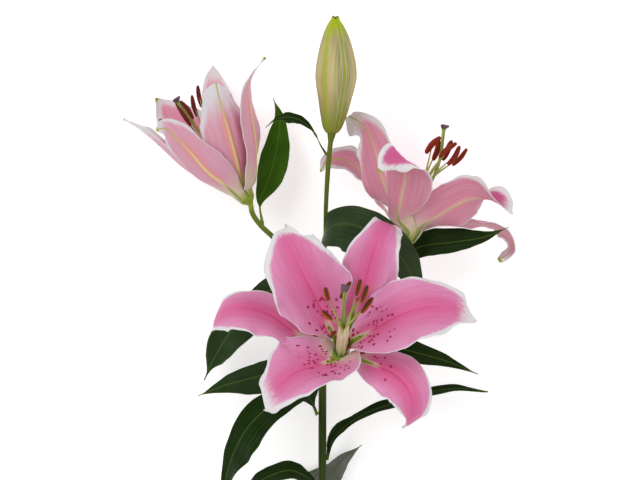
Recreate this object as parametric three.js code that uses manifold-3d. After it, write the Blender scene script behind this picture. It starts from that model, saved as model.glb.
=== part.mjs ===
// A cut lily: one flowering stem with three pink blooms, a closed bud and lance-shaped leaves, laid on
// its back on a flat surface. It rests on the stem's cut end and on the hindmost tepals of two blooms.
//
// Units are millimetres. +Y runs along the stem from the cut end to the bud, +X is to the right as seen
// from above, and +Z points up from the surface, which is Z = 0. The origin is the middle of the
// lily's outline on that surface.
//
// Every leaf and tepal is a thin blade round its midrib, and every stalk, stamen and bud is a tube round
// its centre line. Both are built on a spine: a smooth curve with a frame carried along it. A path is
// the list of points that a spine runs through.

import * as THREE from 'three';
import Module from 'manifold-3d';

const wasm = await Module();
wasm.setup();

// Thicknesses, and the free play between a piece and what carries it
const TEPAL_THICKNESS = 0.8;
const LEAF_THICKNESS = 0.7;
const SEAT_GAP = 0.35;

// Stalks, all round
const STEM_RADIUS = 3.3;
const CUT_END_RADIUS = 3.7;
const STEM_TOP_RADIUS = 2.5;
const BUD_STALK_RADII = { foot: 1.7, middle: 2.4, top: 3.6 };
const PEDICEL_RADIUS = 2.2;
const RECEPTACLE_RADIUS = 6.5; // the swollen end of a pedicel, on which a bloom stands
const RECEPTACLE_LENGTH = 5;

// Tepals grow in two whorls of three. `radius` is from the bloom's axis to the foot of a tepal, `flare`
// is how far it leans out over its first millimetres (`rise`), `claw` is half its width at the foot, and
// `share` is the largest angle, in radians, that half of it may take round the axis.
const WHORLS = {
  inner: { radius: 4.6, rise: 6, flare: 1.5, claw: 3.6, share: 0.94, columns: 6 },
  outer: { radius: 6.1, rise: 5, flare: 2.2, claw: 4.4, share: 0.8, columns: 4 },
};
const TEPAL_ROWS = 16;
const TEPAL_TIP_HALF_WIDTH = 0.7;
const TEPAL_TAPER = 0.85; // below 1 gives a blunt tip, above 1 a drawn-out one
const RUFFLES = 3.5; // waves along a tepal's edge

// The heart of a bloom: ovary, style and stigma with six stamens round them
const CORE_RADIUS = 3.9; // the disc that they all grow from
const CORE_HEIGHT = 1.25;
const OVARY = { radius: 2.5, length: 26 };
const STYLE_RADIUS = 1.35;
const STIGMA_RADIUS = 3.6;
const FILAMENT_RING_RADIUS = 3.0;
const FILAMENT_RADIUS = 0.85;
const FILAMENT_UPRIGHT = 30; // height up to which the filaments stand close round the ovary
const ANTHER = { radius: 1.9, length: 18 };

const BUD_RADIUS = 16.2;
const BUD_RIDGE = 0.05; // how far the three midribs stand out, as a share of the radius

const LEAF_ROWS = 12;
const LEAF_COLUMNS = 4;
const LEAF_STALK_HALF_WIDTH = 1.6;
const LEAF_TIP_HALF_WIDTH = 0.6;

const SPINE_STEPS = 48; // a common multiple of all the row counts
const FLAT_ARCH = 1e-3; // stands for an arch of nought, which has no radius
const TURN = Math.PI * 2;
const UP = new THREE.Vector3(0, 0, 1);

const FINISHES = {
  stem: { color: 0x5f7f34, roughness: 0.5 },
  bud: { color: 0xcfcf94, roughness: 0.55 },
  leaf: { color: 0x22401d, roughness: 0.4 },
  innerTepal: { color: 0xe58ab4, roughness: 0.55 },
  outerTepal: { color: 0xe9a2c3, roughness: 0.55 },
  heart: { color: 0xa9b767, roughness: 0.5 },
};

// Blooms. A bloom stands on its seat and opens along its axis. `turn` is the angle of its first inner
// tepal round the axis: 0 degrees is axis x Z, 90 degrees is the upper side. Tepals follow each other 60
// degrees apart, inner and outer in turns. Each has its path from the throat to the tip, its greatest
// width, how fast it widens (`rise`, below 1 is fast), how far each half bends towards its inner face at
// the middle and the tip (`cup`), its twist at the foot, middle and tip, and the height of the waves in
// its edge (`ruffle`). Angles are in degrees. Each anther has its middle and the way it lies.
const FRONT_BLOOM = {
  name: 'front_bloom',
  seat: [17, -5, 86],
  axis: [0.03, 0.45, 0.89],
  turn: -8,
  tepals: [
    {
      path: [
        [25, 4, 104], [41, 14, 122], [61, 26, 134], [84, 33, 140], [104, 32, 137], [118, 25, 128],
        [124, 21.5, 119],
      ],
      width: 58,
      rise: 0.8,
      cup: [12, -14],
      ruffle: 2.6,
    },
    {
      path: [
        [27, -9, 95], [45, -14, 104], [62, -23, 112], [72, -37, 117], [73, -53, 111], [70, -61, 99],
        [66, -64, 91],
      ],
      width: 40,
      rise: 0.7,
      cup: [-4, -16],
      twist: [0, 32, 26],
      ruffle: 1.6,
    },
    {
      path: [
        [10, -10, 105], [-2, -13, 121], [-18, -18, 133], [-33, -29, 136], [-43, -41, 128], [-45, -49, 116],
      ],
      width: 60,
      rise: 0.7,
      cup: [16, -10],
      ruffle: 2.4,
    },
    {
      path: [
        [3, 1, 91], [-18, 11, 94], [-41, 27, 102], [-62, 32, 107], [-77, 28, 101], [-84, 20, 92],
        [-85, 13, 85],
      ],
      width: 41,
      cup: [-4, -14],
      twist: [0, -8, -8],
      ruffle: 1.6,
    },
    {
      path: [[10, 11, 105], [0, 33, 123], [-12, 56, 136], [-22, 76, 139], [-28, 90, 131], [-28, 94.5, 121]],
      width: 63,
      rise: 0.8,
      cup: [10, -12],
      ruffle: 2.6,
    },
    {
      path: [
        [24, 20, 93], [33, 44, 108], [39, 66, 119], [45, 84, 123], [50, 95.5, 117], [53, 99, 107],
        [53, 95, 97],
      ],
      width: 42,
      cup: [-4, -10],
      twist: [0, 6, 6],
      ruffle: 1.6,
    },
  ],
  stigma: [19, 49, 170],
  anthers: [
    { at: [30, 49, 162], lie: [0.18, 0.7, -0.69] },
    { at: [37, 35, 156], lie: [0.5, 0.66, -0.56] },
    { at: [5, 27, 152], lie: [0.4, -0.36, 0.84] },
    { at: [5, 44, 158], lie: [0.12, -0.55, 0.83] },
    { at: [20, 47, 150], lie: [0.45, 0.7, -0.55] },
    { at: [35, 44, 160], lie: [0.26, 0.72, -0.64] },
  ],
};

// Half open, seen from outside. Its fourth tepal reaches down to the surface.
const LEFT_BLOOM = {
  name: 'left_bloom',
  seat: [-59, 119, 50],
  axis: [-0.58, 0.81, -0.05],
  turn: 65,
  tepals: [
    {
      path: [[-64, 135, 60], [-68, 151, 66], [-73, 170, 71], [-78, 188, 72], [-82, 203, 69], [-84, 212, 64]],
      width: 46,
      cup: [34, 20],
      ruffle: 0.6,
    },
    {
      path: [
        [-76, 130, 64], [-90, 141, 72], [-104, 157, 78], [-115, 168, 80], [-124, 175, 77], [-131, 174, 71],
      ],
      width: 40,
      cup: [28, 0],
      ruffle: 0.6,
    },
    {
      path: [
        [-75, 124, 48], [-92, 133, 46], [-110, 145, 43], [-128, 161, 39], [-144, 174, 35], [-160, 184, 30],
      ],
      width: 46,
      cup: [34, 20],
      ruffle: 0.6,
    },
    {
      path: [
        [-71.5, 129, 33.5], [-83, 141, 23], [-95, 156, 12], [-108, 172, 3], [-120, 186, -1], [-135, 202, 3],
      ],
      width: 38,
      cup: [24, 0],
      ruffle: 0.6,
    },
    {
      path: [[-62, 135, 39], [-67, 151, 32], [-74, 170, 27], [-80, 190, 23], [-85, 210, 21], [-87, 228, 23]],
      width: 44,
      cup: [30, 10],
      ruffle: 0.6,
    },
    {
      path: [
        [-53, 134, 55], [-52, 150, 57], [-53, 168, 58], [-56, 186, 57], [-58, 203, 56], [-55, 218, 54],
        [-44, 233, 50],
      ],
      width: 34,
      cup: [16, 0],
      twist: [0, -24, 10],
      ruffle: 0.6,
    },
  ],
  stigma: [-117, 200, 46],
  anthers: [
    { at: [-102, 194, 44], lie: [0.25, -0.97, 0] },
    { at: [-107, 191, 54], lie: [0.59, -0.81, 0] },
    { at: [-109, 185, 62], lie: [0.55, -0.83, 0] },
    { at: [-122, 180, 40], lie: [0.9, -0.4, 0] },
    { at: [-112, 190, 32], lie: [0.6, -0.8, 0.1] },
    { at: [-98, 202, 38], lie: [0.18, -0.98, 0] },
  ],
};

// Wide open, seen from the side. Its fifth tepal reaches down to the surface.
const RIGHT_BLOOM = {
  name: 'right_bloom',
  seat: [70, 86, 74],
  axis: [0.32, 0.94, -0.12],
  turn: 40,
  tepals: [
    {
      path: [
        [79, 96, 79], [92, 104, 86], [105, 112, 93], [121, 119, 99], [135, 118, 100], [147, 114, 95],
        [154, 106, 89],
      ],
      width: 41,
      cup: [10, -10],
      twist: [0, -45, 90],
      ruffle: 1.8,
    },
    {
      path: [
        [63, 102, 88], [64, 117, 102], [67, 133, 117], [67, 146, 129], [62, 153, 139], [54, 149, 142],
        [46, 139, 139],
      ],
      width: 40,
      cup: [10, -10],
      twist: [0, 0, -90],
      ruffle: 1,
    },
    {
      path: [
        [63, 102, 79.5], [57, 118, 83.5], [50, 136, 83], [45, 157, 79], [39, 172, 72], [32, 180.5, 64],
        [23.5, 186, 55],
      ],
      width: 42,
      cup: [10, -14],
      twist: [0, 40, 15],
      ruffle: 2.2,
    },
    {
      path: [[56, 105, 60], [43.5, 127, 49], [33, 143, 43], [19, 151, 38], [6, 149, 35], [0, 141, 33]],
      width: 28,
      cup: [-4, -10],
      twist: [0, 35, 90],
      ruffle: 1.2,
    },
    {
      path: [
        [74, 99, 63], [79, 109, 50], [86, 115, 31], [93, 118, 13], [101, 120, 2], [109, 122, -1],
        [116, 123, 1],
      ],
      width: 34,
      cup: [10, 0],
      ruffle: 1,
    },
    {
      path: [
        [83, 94, 63.5], [101, 99, 56], [125, 100, 54], [143, 96, 55], [154, 87, 54], [155, 77, 51],
        [144, 69, 50],
      ],
      width: 32,
      cup: [-4, -10],
      ruffle: 1.2,
    },
  ],
  stigma: [100, 178, 66],
  anthers: [
    { at: [108, 153, 72], lie: [0.53, 0.85, 0] },
    { at: [102, 158, 80], lie: [0.78, 0.63, 0] },
    { at: [90, 162, 78], lie: [0.67, 0.74, 0.1] },
    { at: [94, 158, 64], lie: [0.27, 0.96, 0] },
    { at: [103, 158, 50], lie: [0.4, 0.9, 0.2] },
    { at: [113, 152, 60], lie: [0.65, 0.76, 0] },
  ],
};

const BLOOMS = [FRONT_BLOOM, LEFT_BLOOM, RIGHT_BLOOM];

// The stem from its cut end to the last fork, and the stalks that leave it. A pedicel ends at a bloom.
const MAIN_STEM = [[2, -265, 3.7], [3, -190, 16], [2, -110, 29], [2, -40, 41], [2, 20, 52], [2, 52, 57]];
const BUD_STALK = [[2, 40, 55], [4, 82, 62], [5, 118, 68], [7, 150, 73], [9.4, 172.1, 76.6]];
const PEDICELS = [
  { bloom: FRONT_BLOOM, path: [[2, -30, 43], [5, -24, 57], [15, -14, 70]] },
  {
    bloom: LEFT_BLOOM,
    path: [[2, 32, 54], [-14, 58, 54], [-37, 87, 52], [-47.5, 97, 51], [-54.5, 107, 50.5]],
  },
  { bloom: RIGHT_BLOOM, path: [[2, 33, 54], [24, 49, 59], [50, 64, 68], [64, 73, 75]] },
];

// `swell` is the bud's radius, as a share of its greatest, at shares of its length.
const BUD = {
  path: [[9.4, 172.8, 76.8], [11.8, 217, 85], [11.7, 263.5, 92]],
  swell: [
    [0, 0.24], [0.02, 0.37], [0.065, 0.5], [0.17, 0.65], [0.31, 0.82], [0.42, 0.95], [0.495, 1],
    [0.58, 0.97], [0.67, 0.88], [0.81, 0.67], [0.91, 0.44], [0.97, 0.22], [1, 0.07],
  ],
};

// Leaves, from the foot to the tip. `face` is where the upper side looks half way along.
const LEAVES = [
  {
    path: [
      [-46.7, 99.5, 47.9], [-48.5, 117, 43], [-42, 134, 38], [-36.5, 154, 33], [-34, 170, 30],
      [-33, 185, 28], [-38, 201, 27],
    ],
    width: 24,
    stalk: 0.14,
    face: [0.2, 0, 1],
  },
  {
    path: [
      [4.4, 155, 77], [1, 161, 78], [-4, 171, 80], [-15, 181, 80], [-26, 184, 79], [-36, 182, 76],
      [-43.5, 176, 71],
    ],
    width: 10,
    face: [-0.2, 0.8, 0.6],
  },
  {
    path: [
      [3.5, 91.5, 66.8], [6, 95, 75], [13, 98, 83], [25, 98, 88], [47, 88, 91], [67, 69, 88], [80, 38, 77],
    ],
    width: 34,
    rise: 0.5,
    fold: [14, 6, 4],
    face: [0.2, 0.3, 1],
  },
  {
    path: [[55, 65.5, 67.1], [81, 80, 58], [108, 84, 64], [132, 88, 74], [151, 96, 82]],
    width: 19,
    face: [0, 0.2, 1],
  },
  {
    path: [[5.7, 9, 50], [36, 6, 56], [73, -4, 56], [101, -12, 50], [128, -23, 40]],
    width: 21,
    face: [0, 0.3, 1],
  },
  {
    path: [
      [6.4, -92, 31], [10, -78, 32], [21, -65, 36], [41, -53, 39], [62, -46, 39], [89, -38, 35],
      [111, -35, 29], [137, -38, 20],
    ],
    width: 12,
    peak: 0.55,
    face: [0.2, 0.8, 0.6],
  },
  {
    path: [[-1.4, 46, 56], [-22, 51, 64], [-49, 40, 60], [-71, 14, 44], [-86, -10, 27], [-95, -29, 16]],
    width: 29,
    face: [-0.3, 0.2, 1],
  },
  {
    path: [[-1.7, -15, 46], [-24, -17, 54], [-52, -25, 52], [-77, -32, 43], [-99, -41, 32]],
    width: 25,
    face: [0, 0.2, 1],
  },
  {
    path: [
      [-2.7, -55, 40], [-7, -45, 51], [-14, -37.5, 65], [-34, -44, 73], [-55, -61, 67], [-69, -84, 52],
      [-77, -110, 36], [-79, -133, 22],
    ],
    width: 25,
    face: [-0.3, 0.3, 1],
    twist: [-70, 0, 0],
  },
  {
    path: [
      [-1.6, -115, 31], [-10, -107, 40], [-24, -100.5, 50], [-42, -105.5, 46], [-58, -117, 34], [-72, -137, 20],
    ],
    width: 18,
    face: [-0.1, 0.6, 0.8],
  },
  { path: [[-0.2, -134, 21.4], [5, -116, 13], [17, -97, 9], [34, -82, 14]], width: 17, face: [0.2, 0, -1] },
  {
    path: [[6.6, -150, 22], [24, -146, 30], [50, -150, 30], [76, -162, 20], [98, -178, 8]],
    width: 22,
    face: [0, 0.3, 1],
  },
  {
    path: [[-1.3, -176, 18], [-20, -170, 27], [-44, -174, 26], [-68, -188, 15], [-86, -204, 6]],
    width: 20,
    face: [0, 0.3, 1],
  },
];

const vector = ([x, y, z]) => new THREE.Vector3(x, y, z);
const mix = (a, b, t) => a + (b - a) * t;
const smooth = (from, to, x) => THREE.MathUtils.smoothstep(x, from, to);
const radians = THREE.MathUtils.degToRad;

// Values at the foot, the middle and the tip of a spine, joined smoothly.
const along3 = ([foot, middle, tip]) => (u) =>
  u < 0.5 ? mix(foot, middle, smooth(0, 0.5, u)) : mix(middle, tip, smooth(0.5, 1, u));

// A value that runs in straight steps through [share of the length, value] points.
const profile = (points) => (u) => {
  const next = Math.max(1, points.findIndex(([at]) => at >= u));
  const [[from, first], [to, last]] = points.slice(next - 1, next + 1);
  return mix(first, last, (u - from) / (to - from));
};

// Carries a direction from one point of a curve to the next without twisting it, by two reflections.
function carried(direction, from, to) {
  const step = to.at.clone().sub(from.at);
  const reflect = (v, mirror) => v.clone().addScaledVector(mirror, (-2 * mirror.dot(v)) / mirror.lengthSq());
  const middle = reflect(direction, step);
  const mirror = to.along.clone().sub(reflect(from.along, step));
  return mirror.lengthSq() < 1e-12 ? middle : reflect(middle, mirror);
}

// Frames along a smooth curve through the path: at, along, face and side. The face starts out nearest to
// the given direction at the share `anchor` of the length, is carried both ways, and is then twisted.
function spine(path, facing, { anchor = 0, twist = [0, 0, 0] } = {}) {
  const curve = new THREE.CatmullRomCurve3(path.map((point) => (point.isVector3 ? point : vector(point))));
  curve.arcLengthDivisions = 400;
  const frames = Array.from({ length: SPINE_STEPS + 1 }, (_, i) => ({
    at: curve.getPointAt(i / SPINE_STEPS),
    along: curve.getTangentAt(i / SPINE_STEPS),
  }));
  const start = Math.round(anchor * SPINE_STEPS);
  const first = frames[start];
  first.face = facing.clone().addScaledVector(first.along, -facing.dot(first.along)).normalize();
  for (let i = start; i < SPINE_STEPS; i++)
    frames[i + 1].face = carried(frames[i].face, frames[i], frames[i + 1]);
  for (let i = start; i > 0; i--) frames[i - 1].face = carried(frames[i].face, frames[i], frames[i - 1]);
  const turned = along3(twist.map(radians));
  frames.forEach((frame, i) => {
    frame.face.normalize().applyAxisAngle(frame.along, turned(i / SPINE_STEPS));
    frame.side = frame.along.clone().cross(frame.face);
  });
  return frames;
}

const frameAt = (frames, u) => frames[Math.round(u * SPINE_STEPS)];

function geometryOf(points, triangles) {
  const geometry = new THREE.BufferGeometry().setFromPoints(points);
  geometry.setIndex(triangles);
  geometry.computeVertexNormals();
  return geometry;
}

// One face of a blade, as rows of points. `face` is 1 for the side that the frames face, -1 for the other.
function bladeFace(frames, face, { halfWidth, arch, ruffle = () => 0, thickness, rows, columns }) {
  const points = [];
  for (let i = 0; i <= rows; i++) {
    const u = i / rows;
    const frame = frameAt(frames, u);
    const half = halfWidth(u);
    const bent = arch(u) || FLAT_ARCH;
    const radius = half / bent;
    for (let j = 0; j <= columns; j++) {
      const v = (2 * j) / columns - 1;
      const out = radius * Math.sin(bent * v);
      const lift = radius * (1 - Math.cos(bent * v)) + ruffle(u, v);
      const layer = (face * thickness) / 2;
      const point = frame.at
        .clone()
        .addScaledVector(frame.side, out - layer * Math.sin(bent * v))
        .addScaledVector(frame.face, lift + layer * Math.cos(bent * v));
      points.push(point);
    }
  }
  return points;
}

// A thin closed blade round a spine. halfWidth(u) is its outline, arch(u) the angle through which each
// half bends towards its face, and ruffle(u, v) the wave of its edge, for u from the foot to the tip and
// v from edge to edge. Where a blade would dip into the surface it lies flat on it.
function blade(frames, shape) {
  const { thickness, rows, columns } = shape;
  const upper = bladeFace(frames, 1, shape);
  const lower = bladeFace(frames, -1, shape);
  const [above, below] = frameAt(frames, 1).face.z > 0 ? [upper, lower] : [lower, upper];
  above.forEach((point) => point.setZ(Math.max(point.z, thickness)));
  below.forEach((point) => point.setZ(Math.max(point.z, 0)));
  const across = columns + 1;
  const under = upper.length;
  const triangles = [];
  const quad = (a, b, c, d) => triangles.push(a, c, b, a, d, c);
  for (let i = 0; i < rows; i++)
    for (let j = 0; j < columns; j++) {
      const a = i * across + j;
      const [b, c, d] = [a + across, a + across + 1, a + 1];
      quad(a, b, c, d);
      triangles.push(under + a, under + b, under + c, under + a, under + c, under + d);
    }
  for (let i = 0; i < rows; i++) {
    const left = i * across;
    const right = left + columns;
    quad(left, under + left, under + left + across, left + across);
    quad(right, right + across, under + right + across, under + right);
  }
  for (let j = 0; j < columns; j++) {
    const tip = rows * across + j;
    quad(j, j + 1, under + j + 1, under + j);
    quad(tip, under + tip, under + tip + 1, tip + 1);
  }
  return geometryOf([...upper, ...lower], triangles);
}

// A closed tube round a spine. radius takes the share of the length and the angle round it.
function tube(frames, radius, { sides, rows }) {
  const points = [];
  for (let i = 0; i <= rows; i++) {
    const u = i / rows;
    const frame = frameAt(frames, u);
    for (let k = 0; k < sides; k++) {
      const angle = (TURN * k) / sides;
      const r = radius(u, angle);
      points.push(
        frame.at
          .clone()
          .addScaledVector(frame.side, r * Math.cos(angle))
          .addScaledVector(frame.face, r * Math.sin(angle)),
      );
    }
  }
  const foot = points.push(frameAt(frames, 0).at.clone()) - 1;
  const tip = points.push(frameAt(frames, 1).at.clone()) - 1;
  const triangles = [];
  for (let k = 0; k < sides; k++) {
    const next = (k + 1) % sides;
    for (let i = 0; i < rows; i++) {
      const [a, b] = [i * sides + k, i * sides + next];
      triangles.push(a, b + sides, b, a, a + sides, b + sides);
    }
    triangles.push(foot, k, next, tip, rows * sides + next, rows * sides + k);
  }
  return geometryOf(points, triangles);
}

// Joins closed geometries that run into each other into one.
function fused(geometries) {
  const solidOf = (geometry) =>
    new wasm.Manifold(
      new wasm.Mesh({
        numProp: 3,
        vertProperties: geometry.getAttribute('position').array,
        triVerts: new Uint32Array(geometry.index.array),
      }),
    );
  const whole = geometries.map(solidOf).reduce((joined, solid) => joined.add(solid)).getMesh();
  const geometry = new THREE.BufferGeometry();
  geometry.setAttribute('position', new THREE.BufferAttribute(whole.vertProperties, 3));
  geometry.setIndex(new THREE.BufferAttribute(whole.triVerts, 1));
  geometry.computeVertexNormals();
  return geometry;
}

// Directions square to a bloom's axis by their angle round it, and points by height, radius and angle.
function bloomFrame({ seat, axis }) {
  const along = vector(axis).normalize();
  const side = along.clone().cross(UP).normalize();
  const lift = side.clone().cross(along);
  const radial = (degrees) =>
    side.clone().multiplyScalar(Math.cos(radians(degrees))).addScaledVector(lift, Math.sin(radians(degrees)));
  const place = (height, radius = 0, degrees = 0) =>
    vector(seat).addScaledVector(along, height).addScaledVector(radial(degrees), radius);
  const distance = (point) => {
    const out = point.clone().sub(vector(seat));
    return out.addScaledVector(along, -out.dot(along)).length();
  };
  return { along, radial, place, distance };
}

// A tepal's outline: a narrow claw at the foot that widens to the blade and runs out to the tip.
function tepalOutline({ width, rise = 1 }, claw) {
  const peak = rise / (rise + TEPAL_TAPER);
  const most = peak ** rise * (1 - peak) ** TEPAL_TAPER;
  const lance = (u) => (u ** rise * (1 - u) ** TEPAL_TAPER) / most;
  return (u) => Math.max(TEPAL_TIP_HALF_WIDTH, claw * (1 - u) ** 4 + (width / 2) * lance(u));
}

// Near its foot a tepal is part of a funnel round the bloom's axis, so that the whorls nest in each
// other and leave each other room; further out it takes a curve of its own.
function tepal(bloom, index) {
  const { path, cup, twist, ruffle, ...outline } = bloom.tepals[index];
  const whorl = index % 2 === 0 ? WHORLS.inner : WHORLS.outer;
  const angle = bloom.turn + 60 * index;
  const { radial, place, distance } = bloomFrame(bloom);
  const foot = place(2 * SEAT_GAP, whorl.radius, angle);
  const claw = place(whorl.rise, whorl.radius + whorl.flare, angle);
  const frames = spine([foot, claw, ...path], radial(angle).negate(), { twist });
  const whole = tepalOutline(outline, whorl.claw);
  const reach = (u) => Math.max(distance(frameAt(frames, u).at), whorl.radius);
  const halfWidth = (u) => Math.min(whole(u), reach(u) * whorl.share);
  const funnel = (u) => halfWidth(u) / reach(u);
  const open = (u) => radians(mix(cup[0], cup[1], smooth(0.5, 1, u)));
  const phase = (v) => (v > 0 ? index : index + 2);
  const wave = (u, v) => smooth(0.25, 0.5, u) * Math.abs(v) ** 3 * Math.sin(TURN * RUFFLES * u + phase(v));
  return blade(frames, {
    halfWidth,
    arch: (u) => mix(funnel(u), open(u), smooth(0.08, 0.42, u)),
    ruffle: (u, v) => ruffle * wave(u, v),
    thickness: TEPAL_THICKNESS,
    rows: TEPAL_ROWS,
    columns: whorl.columns,
  });
}

// Ovary, style and the swollen, faintly three-lobed stigma.
function pistil(bloom) {
  const { radial, place } = bloomFrame(bloom);
  const stigma = vector(bloom.stigma);
  const bend = place(2 * OVARY.length).lerp(stigma, 0.35);
  const radius = (u, angle) => {
    if (u > 0.97) return STIGMA_RADIUS * (1 + 0.12 * Math.cos(3 * angle));
    if (u > 0.93) return STIGMA_RADIUS * 0.75;
    return u < 0.28 ? OVARY.radius : STYLE_RADIUS;
  };
  const frames = spine([place(CORE_HEIGHT / 2), place(OVARY.length), bend, stigma], radial(90));
  return tube(frames, radius, { sides: 6, rows: 16 });
}

// A filament that leans out from the heart, with its anther across the end.
function stamen(bloom, { at, lie }, index) {
  const { along, radial, place } = bloomFrame(bloom);
  const angle = bloom.turn + 60 * index;
  const centre = vector(at);
  const foot = place(CORE_HEIGHT / 2, FILAMENT_RING_RADIUS, angle);
  const line = [foot, place(FILAMENT_UPRIGHT, 2 * FILAMENT_RING_RADIUS, angle), centre];
  const half = vector(lie).setLength(ANTHER.length / 2);
  const swell = (u) => ANTHER.radius * (0.35 + 0.65 * Math.sqrt(Math.sin(Math.PI * u)));
  return [
    tube(spine(line, radial(90)), () => FILAMENT_RADIUS, { sides: 4, rows: 6 }),
    tube(spine([centre.clone().sub(half), centre.clone().add(half)], along), swell, { sides: 5, rows: 4 }),
  ];
}

function heart(bloom) {
  const { radial, place } = bloomFrame(bloom);
  const ends = [place(SEAT_GAP), place(SEAT_GAP + CORE_HEIGHT)];
  const core = tube(spine(ends, radial(90)), () => CORE_RADIUS, { sides: 12, rows: 1 });
  return fused([core, pistil(bloom), ...bloom.anthers.flatMap((anther, i) => stamen(bloom, anther, i))]);
}

function pedicel({ bloom, path }) {
  const { place } = bloomFrame(bloom);
  const neck = 0.7 * PEDICEL_RADIUS;
  return [
    tube(spine([...path, place(-RECEPTACLE_LENGTH)], UP), () => PEDICEL_RADIUS, { sides: 8, rows: 12 }),
    tube(
      spine([place(-1.4 * RECEPTACLE_LENGTH), place(0)], UP),
      (u) => mix(neck, RECEPTACLE_RADIUS, smooth(0, 1, u)),
      { sides: 12, rows: 4 },
    ),
  ];
}

// The stem, the stalk of the bud and the three pedicels, grown as one.
function stem() {
  const lower = (u) => mix(CUT_END_RADIUS, STEM_RADIUS, smooth(0, 0.3, u));
  const main = (u) => mix(lower(u), STEM_TOP_RADIUS, smooth(0.9, 1, u));
  const { foot, middle, top } = BUD_STALK_RADII;
  const budStalk = (u) => mix(mix(foot, middle, smooth(0.2, 0.9, u)), top, smooth(0.93, 1, u));
  return fused([
    tube(spine(MAIN_STEM, UP), main, { sides: 8, rows: 12 }),
    tube(spine(BUD_STALK, UP), budStalk, { sides: 8, rows: 8 }),
    ...PEDICELS.flatMap(pedicel),
  ]);
}

// The closed bud: three outer tepals edge to edge, each with a raised midrib.
function bud() {
  const swell = profile(BUD.swell);
  const radius = (u, angle) => BUD_RADIUS * swell(u) * (1 + BUD_RIDGE * Math.cos(3 * angle));
  return tube(spine(BUD.path, UP), radius, { sides: 18, rows: 16 });
}

// A leaf: a narrow foot, a lance-shaped blade folded a little along its midrib, and a fine point. `peak`
// is where it is widest, `stalk` the share of its length before the blade, and `fold` the angle of each
// half to the midrib's plane at the foot, middle and tip. `twist` turns it as it turns a tepal.
function leaf({ path, width, face, rise = 1.1, peak = 0.42, stalk = 0, fold = [20, 14, 8], twist }) {
  const fall = (rise * (1 - peak)) / peak;
  const lance = (t) => (t / peak) ** rise * ((1 - t) / (1 - peak)) ** fall;
  const halfWidth = (u) => {
    const lamina = (width / 2) * lance(Math.max(0, (u - stalk) / (1 - stalk)));
    return Math.max(LEAF_TIP_HALF_WIDTH, LEAF_STALK_HALF_WIDTH * (1 - u) ** 6 + lamina);
  };
  return blade(spine(path, vector(face), { anchor: 0.5, twist }), {
    halfWidth,
    arch: along3(fold.map(radians)),
    thickness: LEAF_THICKNESS,
    rows: LEAF_ROWS,
    columns: LEAF_COLUMNS,
  });
}

const lily = new THREE.Group();

function add(name, geometry, finish) {
  const mesh = new THREE.Mesh(geometry, new THREE.MeshStandardMaterial({ ...finish, metalness: 0 }));
  mesh.name = name;
  lily.add(mesh);
}

add('stem', stem(), FINISHES.stem);
add('bud', bud(), FINISHES.bud);
LEAVES.forEach((one, i) => add(`leaf_${String(i + 1).padStart(2, '0')}`, leaf(one), FINISHES.leaf));
for (const bloom of BLOOMS) {
  bloom.tepals.forEach((_, i) => {
    const whorl = i % 2 === 0 ? 'inner' : 'outer';
    const number = Math.floor(i / 2) + 1;
    add(`${bloom.name}_${whorl}_tepal_${number}`, tepal(bloom, i), FINISHES[`${whorl}Tepal`]);
  });
  add(`${bloom.name}_pistil_and_stamens`, heart(bloom), FINISHES.heart);
}

export default lily;
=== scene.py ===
"""A cut lily laid on a pale table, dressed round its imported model.

Run as a script in Blender, this replaces each plain solid by a finer piece of the same form, gives every
surface a procedural material, and sets the table, the lights and the camera. Paths and widths follow the
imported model, in millimetres: +Y runs from the stem's cut end to the bud and +Z is up from the table. In the
code, u is a share of a piece's length, from 0 at its foot to 1 at its tip.
"""

import math

import bpy
import numpy as np
from bpy.props import FloatProperty, FloatVectorProperty, IntProperty, PointerProperty
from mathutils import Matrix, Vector
from mathutils.kdtree import KDTree


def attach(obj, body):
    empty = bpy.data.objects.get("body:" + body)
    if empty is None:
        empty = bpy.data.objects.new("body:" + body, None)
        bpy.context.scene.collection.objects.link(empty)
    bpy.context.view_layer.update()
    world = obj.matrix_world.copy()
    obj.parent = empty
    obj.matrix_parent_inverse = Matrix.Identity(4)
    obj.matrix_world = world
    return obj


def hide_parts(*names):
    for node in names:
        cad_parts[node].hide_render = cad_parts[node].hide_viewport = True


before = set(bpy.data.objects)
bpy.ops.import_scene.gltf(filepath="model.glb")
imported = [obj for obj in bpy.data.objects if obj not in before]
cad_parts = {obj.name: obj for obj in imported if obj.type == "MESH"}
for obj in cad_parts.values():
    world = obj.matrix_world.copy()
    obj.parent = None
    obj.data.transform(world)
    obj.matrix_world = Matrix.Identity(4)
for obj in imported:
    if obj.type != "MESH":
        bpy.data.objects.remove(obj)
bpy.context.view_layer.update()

bl_info = {
    "name": "Cut lily",
    "version": (1, 0, 0),
    "blender": (4, 5, 0),
    "location": "View3D > Sidebar > Lily",
    "description": "Builds the stem, leaves, bud and blooms of a cut lily and the table that it lies on",
    "category": "Object",
}

MM = 0.001
TURN = 2 * math.pi
UP = np.array((0.0, 0.0, 1.0))
BODY = "root"

# Main sizes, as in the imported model: the stem, its stalks and the swollen end that each bloom stands on
STEM_RADIUS = 3.3
CUT_END_RADIUS = 3.7
STEM_TOP_RADIUS = 2.5
PEDICEL_RADIUS = 2.2
RECEPTACLE_RADIUS = 6.5
RECEPTACLE_LENGTH = 5.0

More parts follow.
